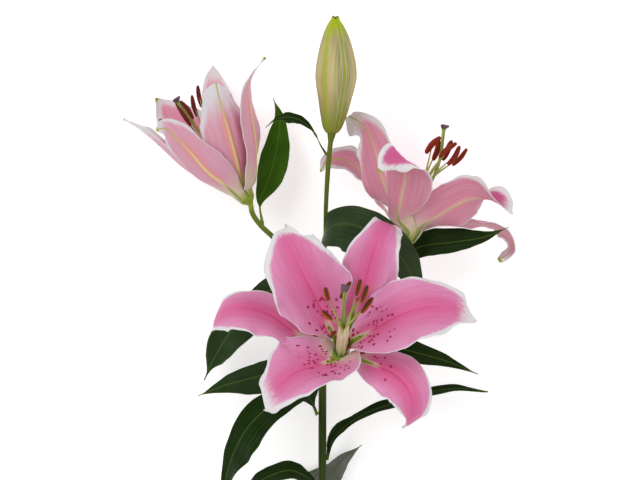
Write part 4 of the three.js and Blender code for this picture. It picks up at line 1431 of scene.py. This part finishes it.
def petal_inside(colours):
    """Pink with a hot band at the midrib, feathered into a white margin, and a green furrow at the foot."""
    material, brush, surface = new_material("petal_inside", 0.5, subsurface=0.12, shine=0.25)
    u, across_share, tone, _ = brush.stored("share")
    _, across, edge, place = brush.stored("place")
    seed = brush.times(tone, 7.0)
    fine = brush.streaks(place, 1.1 * MM, 30 * MM, seed)
    broad = brush.streaks(place, 4 * MM, 50 * MM, seed)
    short = brush.streaks(place, 1.4 * MM, 6 * MM, seed)
    out = brush.plus(brush.math("ABSOLUTE", across_share), brush.times(broad, 0.2))
    whole = brush.over(colours.petal_pink, colours.petal_pale, brush.fade(out, 0.25, 1.1))
    band = brush.line(across, 4.5 * MM, 4.5 * MM)
    banded = brush.times(band, brush.fade(u, 0.12, 0.35), brush.fade(u, 0.95, 0.6))
    whole = brush.over(whole, colours.petal_band, banded, 0.7)
    whole = brush.over(whole, colours.petal_deep, brush.fade(fine, 0.4, 1.0), 0.16)
    half_open = brush.times(brush.fade(tone, 0.05, 0.3), brush.fade(tone, 0.75, 0.5))
    whole = brush.over(whole, colours.petal_young, half_open, 0.6)
    older = brush.fade(tone, 0.5, 0.8)
    whole = brush.over(whole, colours.petal_deep, older, 0.7)
    whole = brush.over(whole, colours.throat, brush.fade(u, 0.26, 0.1), 0.8)
    margin = brush.effect("Feathered margin", edge=edge, streaks=short, feather=0.22, reach=1.25)
    whole = brush.over(whole, colours.margin, margin)
    rib = brush.line(across, 0.4 * MM, 0.5 * MM)
    whole = brush.over(whole, colours.petal_rib, rib, brush.fade(u, 0.95, 0.3))
    swell = brush.times(brush.fade(u, 0.26, 0.05), 2.2 * MM)
    ridge = brush.line(across, brush.plus(swell, 2.5 * MM), 0.8 * MM)
    whole = brush.over(whole, colours.nectary_ridge, ridge, brush.fade(u, 0.34, 0.24))
    furrow = brush.line(across, brush.plus(swell, 1.4 * MM), 0.5 * MM)
    whole = brush.over(whole, colours.nectary, furrow, brush.fade(u, 0.29, 0.23))
    dress(brush, surface, whole, fine, 0.18 * MM, 0.7)
    return material


def petal_outside(colours):
    """Silvery pink with lengthwise veins, a cream midrib, a white margin and a green foot and tip."""
    material, brush, surface = new_material("petal_outside", 0.48, subsurface=0.12)
    u, _, tone, _ = brush.stored("share")
    _, across, edge, place = brush.stored("place")
    seed = brush.plus(brush.times(tone, 5.0), 3.0)
    fine = brush.streaks(place, 1.2 * MM, 40 * MM, seed)
    broad = brush.streaks(place, 5 * MM, 60 * MM, seed)
    short = brush.streaks(place, 1.6 * MM, 10 * MM, seed)
    whole = brush.over(colours.outside_pink, colours.outside_rose, tone)
    whole = brush.over(whole, colours.outside_silver, fine, 0.24)
    whole = brush.tint(whole, colours.outside_shade, broad, 0.14)
    margin = brush.effect("Feathered margin", edge=edge, streaks=short, feather=0.3, reach=1.7)
    whole = brush.over(whole, colours.outside_margin, margin)
    cream = brush.fade(brush.plus(u, brush.times(fine, 0.1)), 0.36, 0.12)
    whole = brush.over(whole, colours.foot_cream, cream, 0.85)
    flank = brush.times(brush.fade(u, 0.9, 0.6), brush.fade(u, 0.15, 0.35))
    flank = brush.times(flank, brush.line(across, 3.8 * MM, 2.6 * MM))
    flank = brush.times(flank, brush.at_least(0.4, brush.fade(tone, 0.8, 0.4)))
    whole = brush.over(whole, colours.flank, flank, 0.65)
    taper = brush.times(brush.fade(u, 1.0, 0.1), 0.8 * MM)
    rib = brush.line(across, brush.plus(taper, 0.5 * MM), 0.4 * MM)
    rib_colour = brush.over(colours.outside_rib, colours.older_rib, brush.fade(tone, 0.5, 0.8))
    rib_colour = brush.over(rib_colour, colours.hook, brush.fade(u, 0.55, 0.95))
    rib_colour = brush.over(rib_colour, colours.foot_green, brush.fade(u, 0.3, 0.12))
    whole = brush.over(whole, rib_colour, rib)
    foot = brush.fade(brush.plus(u, brush.times(fine, 0.05)), 0.11, 0.03)
    whole = brush.over(whole, colours.foot_green, foot)
    dress(brush, surface, whole, fine, 0.2 * MM, 0.8)
    return material


def petal_spot(colours):
    """The dark red of the raised spots."""
    material, brush, surface = new_material("petal_spot", 0.5)
    patches = brush.mottle(brush.object_place(), 4 * MM)
    brush.feed(surface["Base Color"], brush.over(colours.spot, colours.petal_deep, patches, 0.25))
    return material


def petal_hook(colours):
    """The small yellow-green tip of an outer tepal."""
    material, brush, surface = new_material("petal_hook", 0.45)
    patches = brush.mottle(brush.object_place(), 2 * MM)
    brush.feed(surface["Base Color"], brush.over(colours.hook, colours.foot_green, patches))
    return material


def leaf_side(name, settings, colour, vein_colour, roughness):
    """One side of a leaf: parallel veins, soft patches, a pale midrib and a yellow-green foot."""
    material, brush, surface = new_material(name, roughness, shine=0.06)
    u, across_share, tone, _ = brush.stored("share")
    _, across, edge, place = brush.stored("place")
    fine = brush.streaks(place, 0.9 * MM, 50 * MM, brush.times(tone, 9.0))
    patches = brush.mottle(place, 20 * MM)
    veins = brush.math("COSINE", brush.times(across_share, TURN * settings.vein_pairs))
    # Painted sheen: leaves with a middling tone get a greyer, lighter green in place of the light that they
    # reflect
    painted_sheen = brush.times(brush.fade(tone, 0.1, 0.4), brush.fade(tone, 0.8, 0.5))
    fresh = brush.fade(tone, 0.45, 0.9)
    whole = brush.over(colour, settings.painted_sheen, painted_sheen, 0.75)
    whole = brush.over(whole, vein_colour, brush.fade(veins, 0.2, 1.0), 0.55)
    whole = brush.over(whole, vein_colour, fine, 0.2)
    whole = brush.over(whole, settings.fresh, fresh, 0.55)
    whole = brush.tint(whole, settings.shade, patches, 0.5)
    whole = brush.over(whole, settings.rib, brush.line(across, 0.5 * MM, 0.4 * MM), 0.5)
    whole = brush.over(whole, settings.rib, brush.line(edge, 0.3 * MM, 0.3 * MM), 0.6)
    stalk = brush.times(fresh, 0.09)
    whole = brush.over(whole, settings.foot, brush.fade(brush.minus(u, stalk), 0.05, 0.01))
    dress(brush, surface, whole, fine, 0.15 * MM, 0.6)
    brush.feed(surface["Roughness"], brush.plus(roughness, brush.times(patches, 0.12)))
    return material


def stem_skin(colours):
    """Dark green with fine fibres, yellower near the flowers, and brownish scars of stripped leaves."""
    material, brush, surface = new_material("stem_skin", 0.42, shine=0.15)
    green, _, scar, _ = brush.stored("share")
    *_, place = brush.stored("place")
    fibres = brush.streaks(place, 0.8 * MM, 30 * MM, 1.0)
    whole = brush.over(colours.stem, colours.stem_light, fibres)
    whole = brush.over(whole, colours.stem_dark, brush.mottle(place, 25 * MM), 0.4)
    whole = brush.over(whole, colours.scar, scar)
    whole = brush.over(whole, colours.receptacle, green)
    dress(brush, surface, whole, fibres, 0.2 * MM, 0.7)
    return material


def cut_face(colours):
    """The pale cut through the stem, with its bundles of fibres as darker dots."""
    material, brush, surface = new_material("cut_face", 0.55)
    feeds = {"Vector": brush.object_place(), "Scale": 1.1 / MM}
    cells = brush.node("ShaderNodeTexVoronoi", feeds).outputs["Distance"]
    dots = brush.fade(cells, 0.35, 0.15)
    dress(brush, surface, brush.over(colours.cut, colours.stem_light, dots), dots, 0.3 * MM, 0.8)
    return material


def bud_skin(colours):
    """Cream with a tan-pink blush and grey streaks, green midribs and seams, and a green foot and tip."""
    material, brush, surface = new_material("bud_skin", 0.5, subsurface=0.08, shine=0.15)
    u, *_ = brush.stored("share")
    _, midrib, seam, place = brush.stored("place")
    streaks = brush.streaks(place, 1.3 * MM, 50 * MM, 4.0)
    patches = brush.mottle(brush.object_place(), 30 * MM)
    blush = brush.times(brush.fade(midrib, 11 * MM, 3 * MM), brush.at_least(0.5, patches))
    whole = brush.over(colours.bud_cream, colours.bud_blush, blush)
    grey = brush.plus(brush.times(brush.fade(seam, 12 * MM, 3 * MM), 0.55), brush.times(streaks, 0.5))
    whole = brush.over(whole, colours.bud_streak, grey)
    lip = brush.line(brush.minus(seam, 1.9 * MM), 0.5 * MM, 0.5 * MM)
    whole = brush.over(whole, colours.bud_lip, lip, 0.35)
    rib = brush.times(brush.line(midrib, 2.2 * MM, 1.8 * MM), 0.75)
    green = brush.math("MAXIMUM", rib, brush.line(seam, 0.8 * MM, 0.5 * MM))
    whole = brush.over(whole, colours.bud_rib, green)
    foot = brush.fade(brush.plus(u, brush.times(streaks, 0.15)), 0.5, 0.0)
    whole = brush.over(whole, colours.bud_foot, foot)
    whole = brush.over(whole, colours.bud_tip, brush.fade(u, 0.8, 0.96))
    whole = brush.over(whole, colours.bud_point, brush.fade(u, 0.98, 1.0))
    dress(brush, surface, whole, streaks, 0.3 * MM, 0.8)
    return material


def pistil_skin(colours):
    """Whitish green ovary that passes into a green style."""
    material, brush, surface = new_material("pistil_skin", 0.4, subsurface=0.1, shine=0.15)
    u, *_ = brush.stored("share")
    *_, place = brush.stored("place")
    streaks = brush.streaks(place, 0.8 * MM, 12 * MM, 2.0)
    whole = brush.over(colours.ovary, colours.style, brush.fade(u, 0.2, 0.45))
    whole = brush.over(whole, colours.ovary, streaks, 0.3)
    dress(brush, surface, whole, streaks, 0.1 * MM, 0.6)
    return material


def stigma_skin(colours):
    """A sticky purple-grey pad on a green neck."""
    material, brush, surface = new_material("stigma_skin", 0.35, coat=0.15, shine=0.2)
    u, *_ = brush.stored("share")
    patches = brush.mottle(brush.object_place(), 1.6 * MM)
    whole = brush.over(colours.stigma, colours.stigma_light, patches, 0.6)
    whole = brush.over(whole, colours.style, brush.fade(u, 0.45, 0.1))
    dress(brush, surface, whole, patches, 0.3 * MM, 0.8)
    return material


def filament_skin(colours):
    """Whitish where the filaments stand round the ovary, then green up to the anthers."""
    material, brush, surface = new_material("filament_skin", 0.4, subsurface=0.1, shine=0.15)
    u, *_ = brush.stored("share")
    *_, place = brush.stored("place")
    streaks = brush.streaks(place, 0.7 * MM, 15 * MM, 5.0)
    whole = brush.over(colours.filament, colours.filament_end, brush.fade(u, 0.75, 1.0))
    whole = brush.over(whole, colours.filament_foot, brush.fade(u, 0.72, 0.5))
    whole = brush.over(whole, colours.ovary, streaks, 0.2)
    dress(brush, surface, whole, streaks, 0.1 * MM, 0.5)
    return material


def anther_skin(colours):
    """Pollen: orange-brown, maroon or rust by bloom, darker where the lobes have opened."""
    material, brush, surface = new_material("anther_skin", 0.85)
    _, turn, tone, _ = brush.stored("share")
    grains = brush.mottle(brush.object_place(), 0.7 * MM)
    whole = brush.over(colours.pollen_brown, colours.pollen_maroon, brush.fade(tone, 0.0, 0.3))
    whole = brush.over(whole, colours.pollen_rust, brush.fade(tone, 0.4, 0.8))
    lobes = brush.math("ABSOLUTE", brush.math("COSINE", brush.times(turn, TURN)))
    opened = brush.times(brush.fade(lobes, 0.72, 0.5), brush.fade(tone, 0.8, 0.0))
    whole = brush.over(whole, colours.anther_groove, opened)
    seam = brush.times(brush.fade(lobes, 0.2, 0.08), brush.fade(tone, 0.6, 0.0))
    whole = brush.over(whole, colours.anther_seam, seam)
    whole = brush.over(whole, colours.anther_groove, grains, 0.3)
    dress(brush, surface, whole, grains, 0.4 * MM, 1.0)
    return material


def table_top(colour, glow):
    """A pale top that is lit a little from below, as a product table is, so that shadows stay faint."""
    material, brush, surface = new_material("table_top", 0.9)
    patches = brush.mottle(brush.object_place(), TABLE_PATCHES)
    darker = tuple(TABLE_UNEVENNESS * value for value in colour)
    brush.feed(surface["Base Color"], brush.over(colour, darker, patches))
    surface["Emission Color"].default_value = (1, 1, 1, 1)
    surface["Emission Strength"].default_value = glow
    return material


# Settings

def measure(name, description, default):
    return FloatProperty(
        name=name, description=description, default=default, min=0, unit="LENGTH", precision=5,
    )


def amount(name, description, default, unit="NONE", least=0):
    return FloatProperty(name=name, description=description, default=default, min=least, unit=unit)


def colour(name, description, red, green, blue):
    return FloatVectorProperty(
        name=name, description=description, default=linear(red, green, blue),
        subtype="COLOR", min=0, max=1,
    )


class LilyPetalSettings(bpy.types.PropertyGroup):
    """Sizes and colours of the tepals."""

    tepal_thickness: measure("Thickness", "Thickness of a tepal at its midrib", 0.8 * MM)
    tepal_edge: measure("Edge thickness", "Thickness of a tepal at its edge", 0.35 * MM)
    furrow_depth: measure("Furrow depth", "Depth of the furrow along a midrib", 1.0 * MM)
    spot_radius: measure("Spot radius", "Middling radius of a raised spot", 0.9 * MM)
    spots: IntProperty(name="Spots", description="Raised spots on each inner tepal", default=46, min=0)
    petal_pink: colour("Pink", "Inner face between midrib and margin", 218, 112, 162)
    petal_pale: colour("Pale pink", "Inner face towards the margin", 224, 152, 192)
    petal_band: colour("Band", "Hot band along the midrib", 224, 98, 152)
    petal_deep: colour("Deep pink", "Fine dark streaks", 198, 84, 136)
    petal_rib: colour("Midrib line", "Line along the middle of the inner face", 196, 56, 104)
    petal_young: colour("Young pink", "Inner face of a bloom that is still opening", 246, 186, 202)
    throat: colour("Throat", "Inner face near the foot", 226, 202, 192)
    margin: colour("Margin", "The pale edge", 232, 227, 229)
    nectary: colour("Nectary", "Furrow at the foot of the inner face", 142, 172, 60)
    nectary_ridge: colour("Nectary ridge", "Pale ridges beside the furrow", 222, 212, 190)
    spot: colour("Spot", "Raised spots", 164, 4, 58)
    outside_pink: colour("Outer pink", "Outer face of a young bloom", 222, 171, 190)
    outside_rose: colour("Outer rose", "Outer face of an older bloom", 206, 120, 146)
    outside_silver: colour("Silver", "Pale streaks of the outer face", 232, 196, 208)
    outside_shade: colour("Shade", "Broad darker streaks of the outer face", 232, 206, 216)
    outside_rib: colour("Outer midrib", "Raised midrib of the outer face", 222, 210, 142)
    older_rib: colour("Older midrib", "Midrib of the outer face of an older bloom", 204, 182, 154)
    outside_margin: colour("Outer margin", "The pale edge of the outer face", 220, 214, 218)
    flank: colour("Flank", "Salmon pink beside the outer midrib", 232, 140, 126)
    foot_cream: colour("Foot cream", "Outer face near the foot", 214, 200, 172)
    foot_green: colour("Foot green", "Foot of the outer face", 146, 162, 60)
    hook: colour("Tip", "Small green tip of an outer tepal", 172, 174, 64)


class LilyLeafSettings(bpy.types.PropertyGroup):
    """Sizes and colours of the leaves."""

    leaf_thickness: measure("Thickness", "Thickness of a leaf at its midrib", 0.7 * MM)
    vein_pairs: amount("Veins", "Grooves on each half of a leaf", 5, least=1)
    upper: colour("Upper side", "Upper side of a leaf", 22, 44, 6)
    upper_vein: colour("Upper veins", "Veins of the upper side", 44, 66, 24)
    under: colour("Underside", "Underside of a leaf", 112, 115, 106)
    under_vein: colour("Under veins", "Veins of the underside", 152, 154, 146)
    fresh: colour("Fresh green", "Brighter green of a young leaf", 72, 116, 10)
    # Painted sheen: the greyer, lighter green laid on some leaves in place of the light that they reflect
    painted_sheen: colour("Dull green", "Greyer green of an older leaf", 66, 84, 58)
    shade: colour("Shade", "Darker patches", 160, 176, 150)
    rib: colour("Midrib", "Midrib and rim", 88, 112, 40)
    foot: colour("Foot", "Foot of a leaf", 112, 136, 36)


class LilyStemSettings(bpy.types.PropertyGroup):
    """Sizes and colours of the stem."""

    voxel: measure("Grain", "Size of the grid in which the stalks are grown together", 0.6 * MM)
    stem: colour("Stem", "Skin of the stem", 36, 50, 10)
    stem_light: colour("Fibres", "Light fibres of the skin", 58, 78, 20)
    stem_dark: colour("Patches", "Darker patches of the skin", 26, 38, 8)
    receptacle: colour("Receptacle", "Swollen end of a flower's stalk", 138, 156, 48)
    scar: colour("Scar", "Where a leaf was stripped off", 150, 136, 92)
    cut: colour("Cut", "The cut through the stem", 206, 212, 158)


class LilyBudSettings(bpy.types.PropertyGroup):
    """Sizes and colours of the bud."""

    seam_depth: measure("Seam depth", "Depth of the seams between the tepals", 0.6 * MM)
    bud_cream: colour("Cream", "Skin of the bud", 222, 212, 150)
    bud_blush: colour("Blush", "Tan-pink patches", 208, 176, 126)
    bud_streak: colour("Streaks", "Grey-green lengthwise streaks", 148, 143, 98)
    bud_rib: colour("Midribs", "Midribs and seams", 160, 176, 36)
    bud_lip: colour("Lip", "Pale line beside a seam", 216, 214, 176)
    bud_foot: colour("Foot", "Foot of the bud", 128, 138, 36)
    bud_tip: colour("Tip", "Upper end of the bud", 172, 186, 34)
    bud_point: colour("Point", "Very tip of the bud", 104, 126, 40)


class LilyHeartSettings(bpy.types.PropertyGroup):
    """Colours of the pistils and stamens."""

    ovary: colour("Ovary", "Ovary and pale streaks", 226, 228, 176)
    style: colour("Style", "Style", 118, 146, 34)
    stigma: colour("Stigma", "Stigma", 94, 68, 82)
    stigma_light: colour("Stigma light", "Light grains of the stigma", 126, 102, 114)
    filament: colour("Filament", "Filament", 160, 172, 62)
    filament_foot: colour("Filament foot", "Filament beside the ovary", 242, 240, 196)
    filament_end: colour("Filament end", "Filament near the anther", 138, 150, 60)
    pollen_brown: colour("Orange-brown pollen", "Front bloom", 200, 92, 8)
    pollen_maroon: colour("Maroon pollen", "Left bloom", 150, 44, 42)
    pollen_rust: colour("Rust pollen", "Right bloom", 158, 54, 26)
    anther_groove: colour("Groove", "Opened lobes of an anther", 66, 22, 16)
    anther_seam: colour("Seam", "Line between the lobes of an anther", 150, 134, 92)


class LilyStageSettings(bpy.types.PropertyGroup):
    """The table, the lights and the camera."""

    table_size: measure("Table", "Width of the table top", 8.0)
    table_colour: colour("Table colour", "Colour of the table top", 246, 246, 246)
    table_glow: amount("Table glow", "Light from below the table top", 0.42)
    key_power: amount("Key light", "Power of the main light", 31, "POWER")
    fill_power: amount("Fill lights", "Power of each of the other lights", 13, "POWER")
    sky: amount("Surroundings", "Strength of the white surroundings", 0.45)
    camera_height: measure("Camera height", "Height of the camera above the table", 3.08)
    lens: amount("Lens", "Focal length", 210.94, "CAMERA", least=1)


# Operators

class LILY_OT_stem(bpy.types.Operator):
    """Grow the stem, the bud's stalk and the three flower stalks as one skin"""

    bl_idname = "lily.stem"
    bl_label = "Stem"

    def execute(self, context):
        settings = context.scene.lily_stem
        build_stem(settings, [stem_skin(settings), cut_face(settings)])
        return {"FINISHED"}


class LILY_OT_bud(bpy.types.Operator):
    """Build the closed bud"""

    bl_idname = "lily.bud"
    bl_label = "Bud"

    def execute(self, context):
        settings = context.scene.lily_bud
        build_bud(settings, [bud_skin(settings)])
        return {"FINISHED"}


class LILY_OT_leaves(bpy.types.Operator):
    """Build all the leaves"""

    bl_idname = "lily.leaves"
    bl_label = "Leaves"

    def execute(self, context):
        settings = context.scene.lily_leaves
        upper = leaf_side("leaf_upper_side", settings, settings.upper, settings.upper_vein, 0.36)
        under = leaf_side("leaf_underside", settings, settings.under, settings.under_vein, 0.55)
        for number, leaf in enumerate(LEAVES, start=1):
            build_leaf(leaf, number, settings, [upper, under])
        return {"FINISHED"}


class LILY_OT_tepals(bpy.types.Operator):
    """Build the tepals of all three blooms"""

    bl_idname = "lily.tepals"
    bl_label = "Tepals"

    def execute(self, context):
        settings = context.scene.lily_petals
        skins = (petal_inside, petal_outside, petal_spot, petal_hook)
        materials = [skin(settings) for skin in skins]
        for bloom in BLOOMS:
            for index in range(len(bloom["tepals"])):
                build_tepal(bloom, index, settings, materials)
        return {"FINISHED"}


class LILY_OT_hearts(bpy.types.Operator):
    """Build the pistil and stamens of all three blooms"""

    bl_idname = "lily.hearts"
    bl_label = "Pistils and stamens"

    def execute(self, context):
        settings = context.scene.lily_hearts
        skins = (pistil_skin, stigma_skin, filament_skin, anther_skin)
        materials = [skin(settings) for skin in skins]
        for bloom in BLOOMS:
            build_heart(bloom, materials)
        return {"FINISHED"}


def add_light(name, power, width, at):
    """Hangs a square soft light that looks at the lily."""
    lamp = bpy.data.lights.new(name, "AREA")
    lamp.energy = power
    lamp.size = width
    light = bpy.data.objects.new(name, lamp)
    light.location = at
    light.rotation_euler = (Vector(LIT_POINT) - light.location).to_track_quat("-Z", "Y").to_euler()
    bpy.context.scene.collection.objects.link(light)


def add_table(settings):
    """Lays the table under the lily."""
    half = settings.table_size / 2
    corners = [(-half, -half, 0), (half, -half, 0), (half, half, 0), (-half, half, 0)]
    mesh = bpy.data.meshes.new("table")
    mesh.from_pydata(corners, [], [(0, 1, 2, 3)])
    mesh.materials.append(table_top(tuple(settings.table_colour), settings.table_glow))
    table = bpy.data.objects.new("table", mesh)
    bpy.context.scene.collection.objects.link(table)


def add_surroundings(strength):
    """Surrounds the scene with even white light."""
    world = bpy.data.worlds.new("studio")
    world.use_nodes = True
    background = world.node_tree.nodes["Background"]
    background.inputs["Color"].default_value = (1, 1, 1, 1)
    background.inputs["Strength"].default_value = strength
    bpy.context.scene.world = world


def add_camera(settings):
    """Hangs a camera that looks straight down, with the bud towards the top of the picture."""
    camera = bpy.data.objects.new("camera", bpy.data.cameras.new("camera"))
    camera.location = (0, VIEW_MIDDLE, settings.camera_height)
    camera.data.lens = settings.lens
    camera.data.sensor_width = SENSOR_WIDTH
    camera.data.clip_end = CAMERA_REACH
    bpy.context.scene.collection.objects.link(camera)
    bpy.context.scene.camera = camera


class LILY_OT_stage(bpy.types.Operator):
    """Lay the table, set the soft lights and hang the camera"""

    bl_idname = "lily.stage"
    bl_label = "Table, lights and camera"

    def execute(self, context):
        settings = context.scene.lily_stage
        add_table(settings)
        add_surroundings(settings.sky)
        for name, power, width, at in LIGHTS:
            add_light(name, getattr(settings, power), width, at)
        add_camera(settings)
        context.scene.view_settings.view_transform = "Standard"
        return {"FINISHED"}


class LILY_PT_panel(bpy.types.Panel):
    """Settings and makers of the lily"""

    bl_label = "Cut lily"
    bl_idname = "LILY_PT_panel"
    bl_space_type = "VIEW_3D"
    bl_region_type = "UI"
    bl_category = "Lily"

    def draw(self, context):
        for kind in MAKERS:
            self.layout.operator(kind.bl_idname)
        for name in SETTINGS:
            settings = getattr(context.scene, name)
            box = self.layout.box()
            for field in settings.__annotations__:
                box.prop(settings, field)


MAKERS = (LILY_OT_stage, LILY_OT_stem, LILY_OT_bud, LILY_OT_leaves, LILY_OT_tepals, LILY_OT_hearts)
SETTINGS = {
    "lily_petals": LilyPetalSettings,
    "lily_leaves": LilyLeafSettings,
    "lily_stem": LilyStemSettings,
    "lily_bud": LilyBudSettings,
    "lily_hearts": LilyHeartSettings,
    "lily_stage": LilyStageSettings,
}


def register():
    for kind in (*SETTINGS.values(), *MAKERS, LILY_PT_panel):
        bpy.utils.register_class(kind)
    for name, kind in SETTINGS.items():
        setattr(bpy.types.Scene, name, PointerProperty(type=kind))


def unregister():
    for name in SETTINGS:
        delattr(bpy.types.Scene, name)
    for kind in reversed((*SETTINGS.values(), *MAKERS, LILY_PT_panel)):
        bpy.utils.unregister_class(kind)


def main():
    register()
    bpy.ops.lily.stage()
    bpy.ops.lily.stem()
    bpy.ops.lily.bud()
    bpy.ops.lily.leaves()
    bpy.ops.lily.tepals()
    bpy.ops.lily.hearts()
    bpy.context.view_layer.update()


if __name__ == "__main__":
    main()
